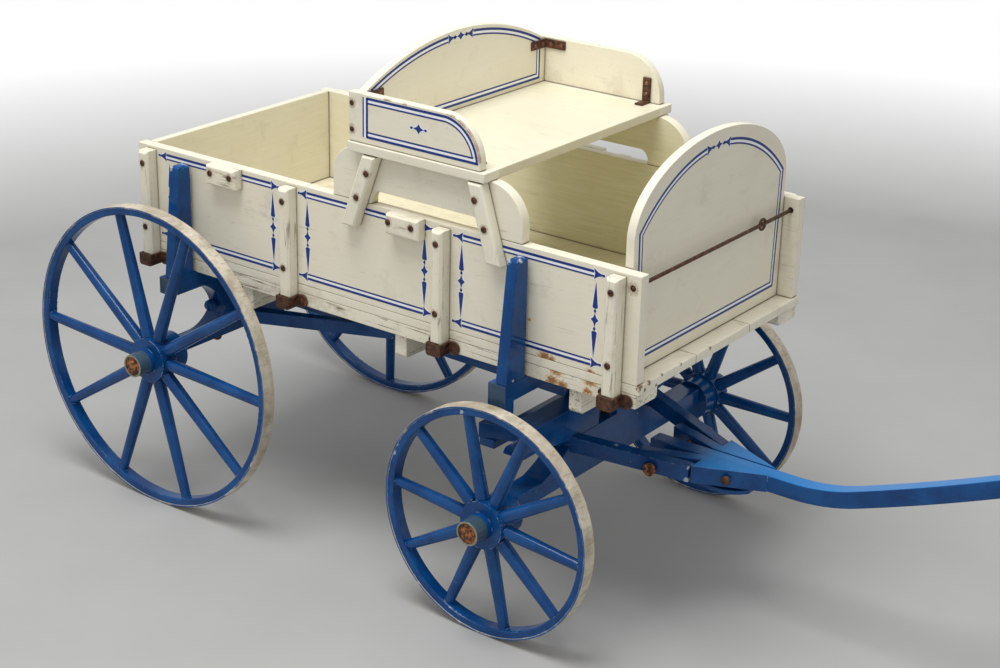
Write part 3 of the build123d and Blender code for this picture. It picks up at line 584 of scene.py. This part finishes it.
def camera():
    data = bpy.data.cameras.new("camera")
    data.lens = CAMERA_LENS
    data.sensor_width = SENSOR_WIDTH
    view = put("camera", data)
    pose = Matrix((CAMERA_RIGHT, CAMERA_UP, CAMERA_BACK)).transposed().to_4x4()
    pose.translation = place(*CAMERA_PLACE)
    view.matrix_world = pose
    bpy.context.scene.camera = view


def lamp():
    """A soft round lamp above the near side."""
    data = bpy.data.lights.new("ceiling_lamp", "AREA")
    data.shape = "DISK"
    data.size = LAMP_SIZE
    data.energy = LAMP_POWER
    item = put("ceiling_lamp", data)
    item.location = LAMP_PLACE
    item.rotation_euler = (LAMP_PLACE - LAMP_AIM).to_track_quat("Z", "Y").to_euler()


def mix_surfaces(tree, share, first, second, output):
    mix = add(tree, "MixShader", {0: share, 1: first.outputs[0], 2: second.outputs[0]})
    tree.links.new(mix.outputs[0], tree.nodes[output].inputs["Surface"])


def light():
    """The lamp, and a sky that is soft on the wagon and white behind it."""
    bpy.context.scene.view_settings.view_transform = "Standard"
    lamp()
    world = bpy.data.worlds.new("studio")
    bpy.context.scene.world = world
    world.use_nodes = True
    tree = world.node_tree
    soft = tree.nodes["Background"]
    soft.inputs["Color"].default_value = WHITE
    soft.inputs["Strength"].default_value = WORLD_STRENGTH
    white = add(tree, "Background", {"Color": WHITE, "Strength": 1.0})
    seen = add(tree, "LightPath").outputs["Is Camera Ray"]
    mix_surfaces(tree, seen, soft, white, "World Output")


def floor_surface():
    """Pale floor with faint mottling that turns white to the camera away from the wagon."""
    material, tree, shader = new_material("floor_finish")
    clouds = noise(tree, FLOOR_GRAIN, 5.0)
    darker = tuple(FLOOR_DARKER * value for value in FLOOR_TONE)
    colour = layer(tree, FLOOR_TONE, darker, clouds, *NOISE_SPAN)
    tree.links.new(colour, shader.inputs["Base Color"])
    shader.inputs["Roughness"].default_value = FLOOR_ROUGHNESS
    reach = add(tree, "VectorMath", {0: rest_place(tree)}, operation="LENGTH").outputs["Value"]
    away = span(tree, reach, FLOOR_PLAIN_RADIUS, FLOOR_WHITE_RADIUS)
    seen = add(tree, "LightPath").outputs["Is Camera Ray"]
    white = add(tree, "Emission", {"Color": WHITE, "Strength": 1.0})
    mix_surfaces(tree, times(tree, away, seen), shader, white, "Material Output")
    return material


def floor():
    corners = [(x * FLOOR_HALF, y * FLOOR_HALF, 0) for x, y in ((-1, -1), (1, -1), (1, 1), (-1, 1))]
    mesh = bpy.data.meshes.new("studio_floor")
    mesh.from_pydata(corners, [], [(0, 1, 2, 3)])
    mesh.materials.append(floor_surface())
    item = put("studio_floor", mesh)


# Screws of the sides: places (x, z) in millimetres, the same on both sides

CLEAT_CENTRES = (-61, 240, 537, 838)
CLEAT_SCREWS = [(x, z) for x in CLEAT_CENTRES for z in (558, 451)]
BLOCK_SCREWS = [(x, 570) for x in (85, 126, 445, 488)]
SEAT_CLEAT_SCREWS = ((404, 635), (385, 595), (602, 637), (620, 598))
ARM_SCREWS = ((373, 735), (373, 696))
SCREW_RADIUS = 4.8
SMALL_SCREW_RADIUS = SCREW_RADIUS * 0.8
# Each row's places, the solid that carries it, its screws' radius and its body
SCREW_ROWS = {
    "cleat_screws": (CLEAT_SCREWS, "side_cleats", SCREW_RADIUS, "wagon"),
    "block_screws": (BLOCK_SCREWS, "stop_blocks", SCREW_RADIUS, "wagon"),
    "seat_cleat_screws": (SEAT_CLEAT_SCREWS, "seat_cleats", SCREW_RADIUS, "seat"),
    "arm_screws": (ARM_SCREWS, "seat_arms", SMALL_SCREW_RADIUS, "seat"),
}
STAIN_RADIUS = 9.0
CLEAT_STAIN_RADIUS = 8.0


def screw_places(row):
    """The places (x, y, z) of a row of screws on the outer face of its solid."""
    places, node = SCREW_ROWS[row][:2]
    y = outer_y(node)
    return [(x, y, z) for x, z in places]


def stains(row, radius=STAIN_RADIUS):
    return [(x, y, z, radius) for x, y, z in screw_places(row)]


# Rust and chips on the near side, which is the side at negative y

def on_face(y, spots):
    """Spots (x, z, radius) of a face that looks to the side, as (x, y, z, radius)."""
    return [(x, y, z, radius) for x, z, radius in spots]


SIDE_FACE_Y = -227.5
WHEEL_FACE_Y = -312.5
SILL_RUST = on_face(SIDE_FACE_Y, ((720, 423, 9), (739, 411, 11), (733, 394, 9), (750, 391, 8),
                                  (797, 410, 10), (793, 393, 7)))
BOARD_RUST = on_face(SIDE_FACE_Y, ((718, 427, 10), (730, 425, 6), (796, 424, 6), (690, 475, 2.5)))
ARM_WEAR = on_face(-outer_y("seat_arms"), ((556, 746, 9), (574, 740, 11), (589, 729, 12), (600, 713, 12),
                                           (606, 697, 8), (470, 748, 7), (438, 748, 9)))
WHEEL_CHIPS = on_face(WHEEL_FACE_Y, ((638, 347, 4), (519, 261, 4), (513, 246, 5)))
DASH_CHIPS = ((829, -217, 596, 6), (829, -217, 580, 4), (847, -217, 604, 4), (847, -204, 470, 3))
STAKE_CHIPS = ((680, -236, 572, 8), (671, -256, 566, 6), (689, -250, 570, 5),
               (20, -236, 572, 8), (11, -256, 566, 6), (689, -262, 392, 3))
HOUND_CHIPS = ((868, -58, 236, 6), (864, -58, 212, 6), (870, -46, 236, 6), (756, -86, 246, 4))
TONGUE_RUST = ((969, -38, 240, 7), (950, -42, 236, 6))
# Along the floor's front end: how far from its near edge, how far down, radius
FLOOR_CHIPS = [(floor_hi.x, floor_lo.y + across, floor_hi.z - down, radius) for across, down, radius in (
    (4, 1, 7), (16, 9, 4), (27, 2, 5), (45, 12, 3), (60, 1, 3), (110, 1, 3), (190, 2, 4))]
ROD_STAIN = on_face(outer_y("side_board_right"), ((859, 563, 12),))


# Finishes of the solids

RING_DEPTH = 0.7
NOSE_LENGTH = 22
BEAM_END_DEPTH = 0.6


def cream_finishes():
    return {
        "cream_board": cream_paint("cream_paint_boards", "x", 0.30, stains=ROD_STAIN, rust=BOARD_RUST),
        "cream_x": cream_paint("cream_paint_x", "x", 0.3),
        "cream_sill": cream_paint("cream_paint_sills", "x", 1.0, 1.0, rust=SILL_RUST),
        "cream_floor": cream_paint("cream_paint_floor", "x", 0.4, 0.4, chips=FLOOR_CHIPS),
        "cream_y": cream_paint("cream_paint_y", "y", 1.0, 1.0),
        "cream_dash": cream_paint("cream_paint_panels", "y", 0.12, chips=DASH_CHIPS),
        "cream_cleat": cream_paint("cream_paint_cleats", "z", 0.8, 0.5,
                                   stains=stains("cleat_screws", CLEAT_STAIN_RADIUS)),
        "cream_block": cream_paint("cream_paint_blocks", "x", 0.8, 0.6, stains=stains("block_screws")),
        "cream_seat_cleat": cream_paint("cream_paint_seat_cleats", "z", 0.3,
                                        stains=stains("seat_cleat_screws")),
        "cream_arm": cream_paint("cream_paint_arms", "x", 0.1, 0.3, stains=stains("arm_screws"),
                                 rubbed=ARM_WEAR),
    }


def blue_finishes():
    beam_end = outer_y("front_bolster") - BEAM_END_DEPTH
    hub_end = outer_y("hub_rear_right") - RING_DEPTH
    return {
        "blue_x": blue_paint("blue_paint_x", "x"),
        "blue_y": blue_paint("blue_paint_y", "y"),
        "blue_bolster": blue_paint("blue_paint_bolsters", "y", bare_from=beam_end),
        "blue_stake": blue_paint("blue_paint_stakes", "z", chips=STAKE_CHIPS),
        "blue_hound": blue_paint("blue_paint_hounds", "x", chips=HOUND_CHIPS),
        "blue_tongue": blue_paint("blue_paint_tongue", "x", painted_sunlight=0.85, rust=TONGUE_RUST),
        "blue_wheel": blue_paint("blue_paint_wheels", "round", crevice_shade=0.0, chips=WHEEL_CHIPS),
        "blue_hub": blue_paint("blue_paint_hubs", "round", crevice_shade=0.6, bare_from=hub_end - NOSE_LENGTH,
                               ring_from=hub_end),
    }


def finishes():
    """One material for each finish, direction of grain and kind of wear."""
    return {
        **cream_finishes(),
        **blue_finishes(),
        "iron": rusty_iron("rusty_iron"),
        "iron_bright": rusty_iron("rusty_iron_bright", 1.0),
        "iron_dark": rusty_iron("rusty_iron_dark", 0.08),
        "iron_pale": rusty_iron("rusty_iron_pale", 0.05, 2.6),
        "tyre": tyre_paint("tyre_band"),
        "line_navy": line_paint("striping_navy", LINE_NAVY, CREAM),
        "line_white": line_paint("striping_white", LINE_WHITE, CREAM),
    }


WHEELS = ("rear_right", "rear_left", "front_right", "front_left")
# Finishes, the width of their softened edges in millimetres, and the solids that have them
NODE_FINISHES = (
    ("cream_floor", 1.2, "floor_boards"),
    ("cream_sill", 1.4, "side_sills"),
    ("cream_y", 1.0, "cross_sills"),
    ("cream_board", 1.4, "side_board_left", "side_board_right", "seat_risers"),
    ("cream_cleat", 0.8, "side_cleats"),
    ("cream_block", 0.8, "stop_blocks"),
    ("cream_dash", 1.4, "tailgate", "dash_panel", "seat_back"),
    ("cream_x", 1.2, "seat_board"),
    ("cream_arm", 1.4, "seat_arms"),
    ("cream_seat_cleat", 0.8, "seat_cleats"),
    ("blue_bolster", 1.2, "rear_bolster", "front_bolster"),
    ("blue_stake", 1.2, "rear_stakes", "front_stakes"),
    ("blue_x", 1.2, "reach", "rear_hounds"),
    ("blue_y", 1.2, "rear_axle", "front_axle", "sand_board", "sway_bar"),
    ("blue_y", 1.0, "tongue_strap"),
    ("blue_hound", 1.2, "front_hounds"),
    ("blue_tongue", 1.6, "tongue_pole"),
    ("blue_tongue", 1.4, "tongue_cheeks"),
    ("iron", 0.6, "stake_pockets", "seat_straps", "seat_angle_irons"),
    ("iron", 0.8, "tongue_eye"),
    ("iron", 0.0, "front_rod", "king_pin"),
    ("iron_bright", 0.0, "rear_axle_rod", "front_axle_rod"),
    ("iron_bright", 0.6, "rear_axle_nuts", "front_axle_nuts"),
    ("iron_bright", 0.8, "hound_bolt"),
    ("tyre", 0.7, *["tyre_" + wheel for wheel in WHEELS]),
    ("blue_wheel", 0.0, *["wheel_" + wheel for wheel in WHEELS]),
    ("blue_hub", 0.0, *["hub_" + wheel for wheel in WHEELS]),
)
CRISP_FINISHES = ("blue_wheel", "blue_hub")
WELD_WIDTH = 0.01
FLAT_DEGREES = 0.5
BEVEL_DEGREES = 35
BEVEL_SEGMENTS = 2
SPLIT_DEGREES = 32


def soften(item, width, crisp):
    """Round the sharp edges of a solid with modifiers; its own mesh stays as it is."""
    item.data.shade_smooth()
    weld = item.modifiers.new("weld", "WELD")
    weld.merge_threshold = WELD_WIDTH * MM
    merge = item.modifiers.new("merge_flats", "DECIMATE")
    merge.decimate_type = "DISSOLVE"
    merge.angle_limit = math.radians(FLAT_DEGREES)
    if width > 0:
        bevel = item.modifiers.new("bevel", "BEVEL")
        bevel.width = width * MM
        bevel.segments = BEVEL_SEGMENTS
        bevel.limit_method = "ANGLE"
        bevel.angle_limit = math.radians(BEVEL_DEGREES)
        bevel.use_clamp_overlap = False
    if crisp:
        split = item.modifiers.new("crisp_edges", "EDGE_SPLIT")
        split.split_angle = math.radians(SPLIT_DEGREES)
    normals = item.modifiers.new("normals", "WEIGHTED_NORMAL")
    normals.keep_sharp = crisp


def dress_nodes(finish):
    for key, width, *nodes in NODE_FINISHES:
        for node in nodes:
            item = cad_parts[node]
            item.data.materials.clear()
            item.data.materials.append(finish[key])
            soften(item, width, key in CRISP_FINISHES)


# Small fittings: slotted screws, domed bolt heads, washers, knobs and the front rod

TURNED_SIDES = 16
HEAD_SINK = 0.6
SLOT_SHARE = 0.16
SLOT_FIRST_TURN = 0.7
SLOT_TURN_STEP = 1.9
MOON_STEPS = 8
# A screw's disc and half-moons: reach, height and distance apart, as shares of its radius
DISC_LEVELS = ((1, 0.12), (0.9, 0.2))
MOON_LEVELS = ((0.9, 0.1, 0), (0.88, 0.26, 0), (0.62, 0.42, 0.35))
DOME_RIM = 0.3
DOME_STEPS = 5


def across_axes(out):
    """Two directions at right angles to a way out of a face."""
    first = out.orthogonal().normalized()
    return first, out.cross(first).normalized()


def lathe(bm, centre, out, rings):
    """A closed turned form; rings hold (radius, height) from the foot up, in millimetres."""
    first, second = across_axes(out)
    levels = []
    for radius, height in rings:
        row = []
        for step in range(TURNED_SIDES):
            angle = math.tau * step / TURNED_SIDES
            spoke = first * math.cos(angle) + second * math.sin(angle)
            row.append(bm.verts.new(centre + (spoke * radius + out * height) * MM))
        levels.append(row)
    close_levels(bm, levels)


def screw(bm, centre, out, radius, turn):
    """A screw head with a slot: a disc that carries two half-moons."""
    disc = [(radius * reach, radius * height) for reach, height in DISC_LEVELS]
    lathe(bm, centre, out, [(radius, -HEAD_SINK)] + disc)
    first, second = across_axes(out)
    slot_way = first * math.cos(turn) + second * math.sin(turn)
    side_way = out.cross(slot_way)
    start = math.asin(SLOT_SHARE)
    for sign in (-1, 1):
        ways = []
        for step in range(MOON_STEPS + 1):
            angle = start + (math.pi - 2 * start) * step / MOON_STEPS
            ways.append(slot_way * math.cos(angle) + side_way * (sign * math.sin(angle)))
        levels = []
        for reach, height, apart in MOON_LEVELS:
            middle = side_way * (sign * radius * SLOT_SHARE * apart) + out * radius * height
            levels.append([bm.verts.new(centre + (middle + way * radius * reach) * MM) for way in ways])
        close_levels(bm, levels)


def dome(bm, centre, out, radius, height):
    """A domed bolt head."""
    rings = [(radius, -HEAD_SINK), (radius, DOME_RIM)]
    for step in range(1, DOME_STEPS):
        angle = math.pi / 2 * step / DOME_STEPS
        rings.append((radius * math.cos(angle), DOME_RIM + height * math.sin(angle)))
    lathe(bm, centre, out, rings)


def side_screws(finish):
    """Rows of screws on the right side and at the same places on the left."""
    for row, (_, _, radius, body) in SCREW_ROWS.items():
        bm = bmesh.new()
        for side, _ in SIDES:
            for index, (x, y, z) in enumerate(screw_places(row)):
                turn = SLOT_FIRST_TURN + SLOT_TURN_STEP * index
                screw(bm, place(x, side * y, z), Vector((0, side, 0)), radius, turn)
        piece(row, bm, finish["iron_dark"], body)


POCKET_EYE_X = 20
POCKET_EYE_Z = 396
POCKET_IRON = 3.3
POCKET_BOLT = (3.8, 1.0)


def pocket_bolts(finish):
    """Bolt heads in the middle of the pocket irons' eyes."""
    bm = bmesh.new()
    y = outer_y("side_board_right") + POCKET_IRON
    for side, _ in SIDES:
        for x in CLEAT_CENTRES:
            foot = place(x + POCKET_EYE_X, side * y, POCKET_EYE_Z)
            dome(bm, foot, Vector((0, side, 0)), *POCKET_BOLT)
    piece("pocket_bolts", bm, finish["iron_dark"], "wagon")


# Screws of the seat's irons, from the irons' corner, and the irons' thickness
IRON_SCREW_RADIUS = 3.2
IRON_THICKNESS = 3
STRAP_SCREWS = (11, 31)
STRAP_SHIFT = 2
ANGLE_SCREWS = (14, 31)
FOOT_SCREW = 15


def seat_iron_screws(finish):
    """Screws of the corner straps and the angle irons; their slots' turns differ."""
    strap_lo, strap_hi = node_box("seat_straps")
    iron_lo, iron_hi = node_box("seat_angle_irons")
    strap_z = (strap_lo.z + strap_hi.z) / 2
    iron_x = (iron_lo.x + iron_hi.x) / 2
    bm = bmesh.new()
    for side, _ in SIDES:
        inner = side * (strap_hi.y - IRON_THICKNESS)
        inwards = Vector((0, -side, 0))
        for offset in STRAP_SCREWS:
            screw(bm, place(strap_lo.x + IRON_THICKNESS, side * (strap_hi.y - offset), strap_z),
                  Vector((1, 0, 0)), IRON_SCREW_RADIUS, offset)
            screw(bm, place(strap_lo.x + offset + STRAP_SHIFT, inner, strap_z), inwards,
                  IRON_SCREW_RADIUS, offset + 1)
        for height in ANGLE_SCREWS:
            screw(bm, place(iron_x, inner, iron_lo.z + height), inwards, IRON_SCREW_RADIUS, height)
        foot = place(iron_x, side * (iron_hi.y - FOOT_SCREW), iron_lo.z + IRON_THICKNESS)
        screw(bm, foot, Vector((0, 0, 1)), IRON_SCREW_RADIUS, 2)
    piece("seat_iron_screws", bm, finish["iron_pale"], "seat")


# Axles: word, body, place along the wagon and height
AXLES = (("rear", "wagon", 0, 254), ("front", "front_gear", 678, 180))
WASHER_DEPTH = 4.5
WASHER_RINGS = ((16.6, -3.0), (16.6, 2.6), (15.8, 3.4))
ROD_END_DEPTH = 1
ROD_END_RINGS = ((8.6, -3.0), (8.6, 1.6), (7.6, 2.8), (4.0, 3.4))


def end_washers(finish):
    """Rusty washer and rod end in the nose of each wheel's hub."""
    y = outer_y("hub_rear_right")
    for word, body, x, z in AXLES:
        bm = bmesh.new()
        for side, _ in SIDES:
            for depth, rings in ((WASHER_DEPTH, WASHER_RINGS), (ROD_END_DEPTH, ROD_END_RINGS)):
                lathe(bm, place(x, side * (y - depth), z), Vector((0, side, 0)), rings)
        piece(word + "_end_washers", bm, finish["iron_bright"], body)


AXLE_NUT_Y = 156
AXLE_NUT = (7.5, 6)
KNOB_FOOT = (12, 166, 313)
KNOB_RINGS = ((7, 0), (7, 7), (9, 9), (9.5, 14), (9, 20), (6, 24))
TONGUE_BOLT_PLACE = (921, 43.5, 224)
TONGUE_BOLT_WAY = (0.37, 0.93)
TONGUE_BOLT = (7.5, 3.5)


def gear_bolts(finish):
    """Nuts under the rear axle, knobs on the rear bolster's ends and bolts of the tongue's head."""
    rod_z = node_box("rear_axle_rod")[0].z
    nuts, knobs, bolts = bmesh.new(), bmesh.new(), bmesh.new()
    for side, _ in SIDES:
        mirror = Vector((1, side, 1))
        dome(nuts, place(0, side * AXLE_NUT_Y, rod_z), Vector((0, 0, -1)), *AXLE_NUT)
        lathe(knobs, place(*(Vector(KNOB_FOOT) * mirror)), Vector((0, side, 0)), KNOB_RINGS)
        out = Vector((*TONGUE_BOLT_WAY, 0)) * mirror
        dome(bolts, place(*(Vector(TONGUE_BOLT_PLACE) * mirror)), out.normalized(), *TONGUE_BOLT)
    piece("rear_axle_bolts", nuts, finish["iron"], "wagon")
    piece("rear_knobs", knobs, finish["blue_y"], "wagon", smooth=True)
    piece("tongue_bolts", bolts, finish["iron_dark"], "tongue")


ROD_RADIUS = 2.9
ROD_EYE_Y = 124
ROD_EYE_RADIUS = 8
ROD_EYE_WIRE = 2.2
EYE_SIDES = 24
WIRE_SIDES = 8


def ring(bm, centre, radius, wire):
    """A round ring that faces forwards, in millimetres."""
    rows = []
    for step in range(EYE_SIDES):
        angle = math.tau * step / EYE_SIDES
        spoke = Vector((0, math.cos(angle), math.sin(angle)))
        row = []
        for index in range(WIRE_SIDES):
            turn = math.tau * index / WIRE_SIDES
            offset = spoke * (radius + wire * math.cos(turn)) + Vector((wire * math.sin(turn), 0, 0))
            row.append(bm.verts.new(centre + offset * MM))
        rows.append(row)
    for row, after in zip(rows, rows[1:] + rows[:1]):
        for index in range(WIRE_SIDES):
            beyond = (index + 1) % WIRE_SIDES
            bm.faces.new((row[index], row[beyond], after[beyond], after[index]))


def front_rod(finish):
    """The thin rod across the dash, with the eye that hangs on it."""
    rod_lo, rod_hi = node_box("front_rod")
    x = (rod_lo.x + rod_hi.x) / 2
    z = (rod_lo.z + rod_hi.z) / 2
    bm = bmesh.new()
    lathe(bm, place(x, rod_lo.y, z), Vector((0, 1, 0)),
          ((ROD_RADIUS, 0), (ROD_RADIUS, rod_hi.y - rod_lo.y)))
    ring(bm, place(x, ROD_EYE_Y, z), ROD_EYE_RADIUS, ROD_EYE_WIRE)
    rod = piece("front_rod_worn", bm, finish["iron"], "wagon", smooth=True)
    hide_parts("front_rod")


# Striping: a broad navy line outside, a white gap and a thin navy line inside

BAND_WIDTH = 10.0
BROAD_LINE = 3.8
THIN_LINE = 2.4
PAINT_SINK = 0.3
WHITE_RISE = 0.10
NAVY_RISE = 0.20
HALO = 1.3
ARROW_LENGTH = 14.0
ARROW_HALF = 8.0
ARROW_NOTCH = 1.5
# Shares of the arrow's length and half width at its waist, and of its half width at its tip
WAIST_PLACE = 0.48
WAIST_HALF = 0.42
TIP_HALF = 0.10
TIP_DOT = 2.1
DOT_SIDES = 10
DIAMOND_HOLLOW = 0.36


class Sheet:
    """A flat face to draw on: a 3-D point for each pair (across, up), and a way out."""

    def __init__(self, point, out):
        self.point = point
        self.out = out

    def level(self, rise):
        return lambda pair: self.point(pair) + self.out * (rise * MM)


def flank_sheet(node, side):
    """The outer face of a solid on one side; across is the wagon's x."""
    y = side * outer_y(node)
    return Sheet(lambda pair: place(pair.x, y, pair.y), Vector((0, side, 0)))


def front_sheet(x):
    """A face that looks forwards; across is the wagon's y."""
    return Sheet(lambda pair: place(x, pair.x, pair.y), Vector((1, 0, 0)))


def pt(x, y):
    """A point or a way on a sheet."""
    return Vector((x, y))


class Striping:
    """Collects navy and white strokes for one sheet and turns them into two pieces."""

    def __init__(self, sheet):
        self.sheet = sheet
        self.navy = bmesh.new()
        self.white = bmesh.new()

    def stroke(self, points, middle, width, navy=True):
        """A line of a given width whose middle runs beside the path."""
        bm = self.navy if navy else self.white
        rise = NAVY_RISE if navy else WHITE_RISE
        left = offset_rail(points, middle + width / 2)
        right = offset_rail(points, middle - width / 2)
        closed_strip(bm, left, right, self.sheet.level(-PAINT_SINK), self.sheet.level(rise))

    def shape(self, outline):
        """A filled navy form with a white halo; points run anticlockwise."""
        low = self.sheet.level(-PAINT_SINK)
        closed_prism(self.navy, outline, low, self.sheet.level(NAVY_RISE))
        closed_prism(self.white, grown(outline, HALO), low, self.sheet.level(WHITE_RISE))

    def band(self, points, inner):
        """The double line; inner is the side, 1 left or -1 right, of its thin line."""
        half = BAND_WIDTH / 2
        self.stroke(points, 0, BAND_WIDTH, navy=False)
        self.stroke(points, -inner * (half - BROAD_LINE / 2), BROAD_LINE)
        self.stroke(points, inner * (half - THIN_LINE / 2), THIN_LINE)

    def arrow(self, start, way):
        """An arrowhead with barbs at the end of a band, then a fine point with a dot."""
        across = pt(-way.y, way.x) * ARROW_HALF
        waist = start + way * (ARROW_LENGTH * WAIST_PLACE)
        tip = start + way * ARROW_LENGTH
        self.shape([start - across, waist - across * WAIST_HALF, tip - across * TIP_HALF,
                    tip + across * TIP_HALF, waist + across * WAIST_HALF, start + across,
                    start + way * ARROW_NOTCH])
        self.dot(tip + way * TIP_DOT, TIP_DOT)

    def dot(self, centre, radius):
        outline = []
        for step in range(DOT_SIDES):
            angle = math.tau * step / DOT_SIDES
            outline.append(centre + pt(math.cos(angle), math.sin(angle)) * radius)
        self.shape(outline)

    def diamond(self, centre, half_along, half_across, way):
        """A diamond with hollow sides."""
        along = way * half_along
        across = pt(-way.y, way.x) * half_across
        corners = [along, across, -along, -across]
        outline = []
        for corner, after in zip(corners, corners[1:] + corners[:1]):
            outline += [centre + corner, centre + (corner + after) * DIAMOND_HOLLOW]
        self.shape(outline)

    def to_pieces(self, name, finish, body):
        piece(name + "_navy", self.navy, finish["line_navy"], body)
        piece(name + "_white", self.white, finish["line_white"], body)


# Lines along the side boards: their height, and the ends of the bays along the wagon
LINE_TOP_Z = 570
LINE_BOTTOM_Z = 438.5
SIDE_BAYS = ((-28, 198), (271, 498), (570, 796))
ORNAMENT_PLACES = (-22, 201, 272, 500, 568, 800)
ORNAMENT_MIDDLE_Z = 503
ORNAMENT_HALF = 57
ORNAMENT_DIAMOND = (10.2, 6.6)
ORNAMENT_DOT = 2.3
DOT_PLACE = 13.2
# A drop's foot, measured from the middle, and its half width; then shares of the width and heights
DROP_FOOT = 17.0
DROP_HALF = 4.5
DROP_LENGTH = ORNAMENT_HALF - DROP_FOOT
DROP_PROFILE = ((0.62, DROP_LENGTH * 0.42), (1, 1.6), (0.7, 0))


def side_ornament(striping, x):
    """Long drop, diamond between two dots, and a long drop upside down."""
    for sign in (1, -1):
        base = ORNAMENT_MIDDLE_Z + sign * DROP_FOOT
        near = [pt(x - sign * DROP_HALF * share, base + sign * up) for share, up in DROP_PROFILE]
        far = [pt(x + sign * DROP_HALF * share, base + sign * up) for share, up in DROP_PROFILE]
        striping.shape([pt(x, base + sign * DROP_LENGTH)] + near + far[::-1])
        striping.dot(pt(x, ORNAMENT_MIDDLE_Z + sign * DOT_PLACE), ORNAMENT_DOT)
    striping.diamond(pt(x, ORNAMENT_MIDDLE_Z), *ORNAMENT_DIAMOND, pt(0, 1))


def side_striping(finish):
    for side, word in SIDES:
        striping = Striping(flank_sheet("side_board_right", side))
        for rear, front in SIDE_BAYS:
            # the thin line is always on the inside of the frame
            for z, inner in ((LINE_TOP_Z, -1), (LINE_BOTTOM_Z, 1)):
                striping.band([pt(rear, z), pt(front, z)], inner)
                striping.arrow(pt(front, z), pt(1, 0))
                striping.arrow(pt(rear, z), pt(-1, 0))
        for x in ORNAMENT_PLACES:
            side_ornament(striping, x)
        striping.to_pieces("side_striping_" + word, finish, "wagon")


def arc_points(first, middle, last, steps):
    """Points along the circle through three points."""
    (ax, ay), (bx, by), (cx, cy) = first, middle, last
    area = 2 * (ax * (by - cy) + bx * (cy - ay) + cx * (ay - by))
    a2, b2, c2 = ax * ax + ay * ay, bx * bx + by * by, cx * cx + cy * cy
    centre = pt((a2 * (by - cy) + b2 * (cy - ay) + c2 * (ay - by)) / area,
                (a2 * (cx - bx) + b2 * (ax - cx) + c2 * (bx - ax)) / area)
    radius = (pt(ax, ay) - centre).length
    start = math.atan2(ay - centre.y, ax - centre.x)
    sweep = math.atan2(cy - centre.y, cx - centre.x) - start
    angles = [start + sweep * step / steps for step in range(steps + 1)]
    return [centre + pt(math.cos(angle), math.sin(angle)) * radius for angle in angles]


# Frames of the arched panels: half widths at foot and shoulder, heights of foot, shoulder and crown
DASH_LINES = (188.5, 194, 447, 628, 711)
BACK_LINES = (206, 206, 690, 748, 793)
ARCH_STEPS = 96
# The frame is open between these shares of the arch
CROWN_OPEN = (0.43, 0.57)
CROWN_DIAMOND = (9.5, 6.8)
CROWN_DOT_PLACE = (13.0, -0.4)
SMALL_DOT = 2.2


def arched_striping(name, x, lines, finish, body):
    """Frame of lines on an arched panel, open at the crown with a diamond between arrows."""
    half_low, half_high, low, shoulder, top = lines
    striping = Striping(front_sheet(x))
    arc = arc_points((-half_high, shoulder), (0, top), (half_high, shoulder), ARCH_STEPS)
    left_end, right_end = [round(ARCH_STEPS * share) for share in CROWN_OPEN]
    left = arc[:left_end + 1]
    right = arc[right_end:]
    striping.band(left[::-1] + [pt(-half_low, low), pt(half_low, low)] + right[::-1], 1)
    for end, inner_point in ((left[-1], left[-2]), (right[0], right[1])):
        striping.arrow(end, (end - inner_point).normalized())
    crown = arc[ARCH_STEPS // 2]
    striping.diamond(crown, *CROWN_DIAMOND, pt(1, 0))
    for sign in (-1, 1):
        striping.dot(crown + pt(sign * CROWN_DOT_PLACE[0], CROWN_DOT_PLACE[1]), SMALL_DOT)
    striping.to_pieces(name, finish, body)


def panel_striping(finish):
    arched_striping("dash_striping", dash_hi.x, DASH_LINES, finish, "dash")
    arched_striping("back_striping", back_hi.x, BACK_LINES, finish, "seat")


# The arm's frame: a line round its nose and a line across its rear end
ARM_TOP_Z = 743
ARM_LOW_Z = 692
ARM_REAR_X = 401
ARM_NOSE = ((545, ARM_TOP_Z), (583, 724), (598, ARM_LOW_Z))
ARM_NOSE_STEPS = 16
ARM_END = ((398.5, 688), (398.5, 747))
ARM_MIDDLE = (497, 719)
ARM_DIAMOND = (9.5, 7.5)
ARM_DOT_PLACE = 13


def arm_striping(finish):
    for side, word in SIDES:
        striping = Striping(flank_sheet("seat_arms", side))
        nose = arc_points(*ARM_NOSE, ARM_NOSE_STEPS)
        striping.band([pt(ARM_REAR_X, ARM_TOP_Z)] + nose + [pt(ARM_REAR_X, ARM_LOW_Z)], -1)
        striping.band([pt(*end) for end in ARM_END], 1)
        middle = pt(*ARM_MIDDLE)
        striping.diamond(middle, *ARM_DIAMOND, pt(1, 0))
        for sign in (-1, 1):
            striping.dot(middle + pt(sign * ARM_DOT_PLACE, 0), SMALL_DOT)
        striping.to_pieces("arm_striping_" + word, finish, "seat")


def main():
    camera()
    light()
    floor()
    finish = finishes()
    dress_nodes(finish)
    side_striping(finish)
    panel_striping(finish)
    arm_striping(finish)
    side_screws(finish)
    pocket_bolts(finish)
    seat_iron_screws(finish)
    end_washers(finish)
    gear_bolts(finish)
    front_rod(finish)


main()
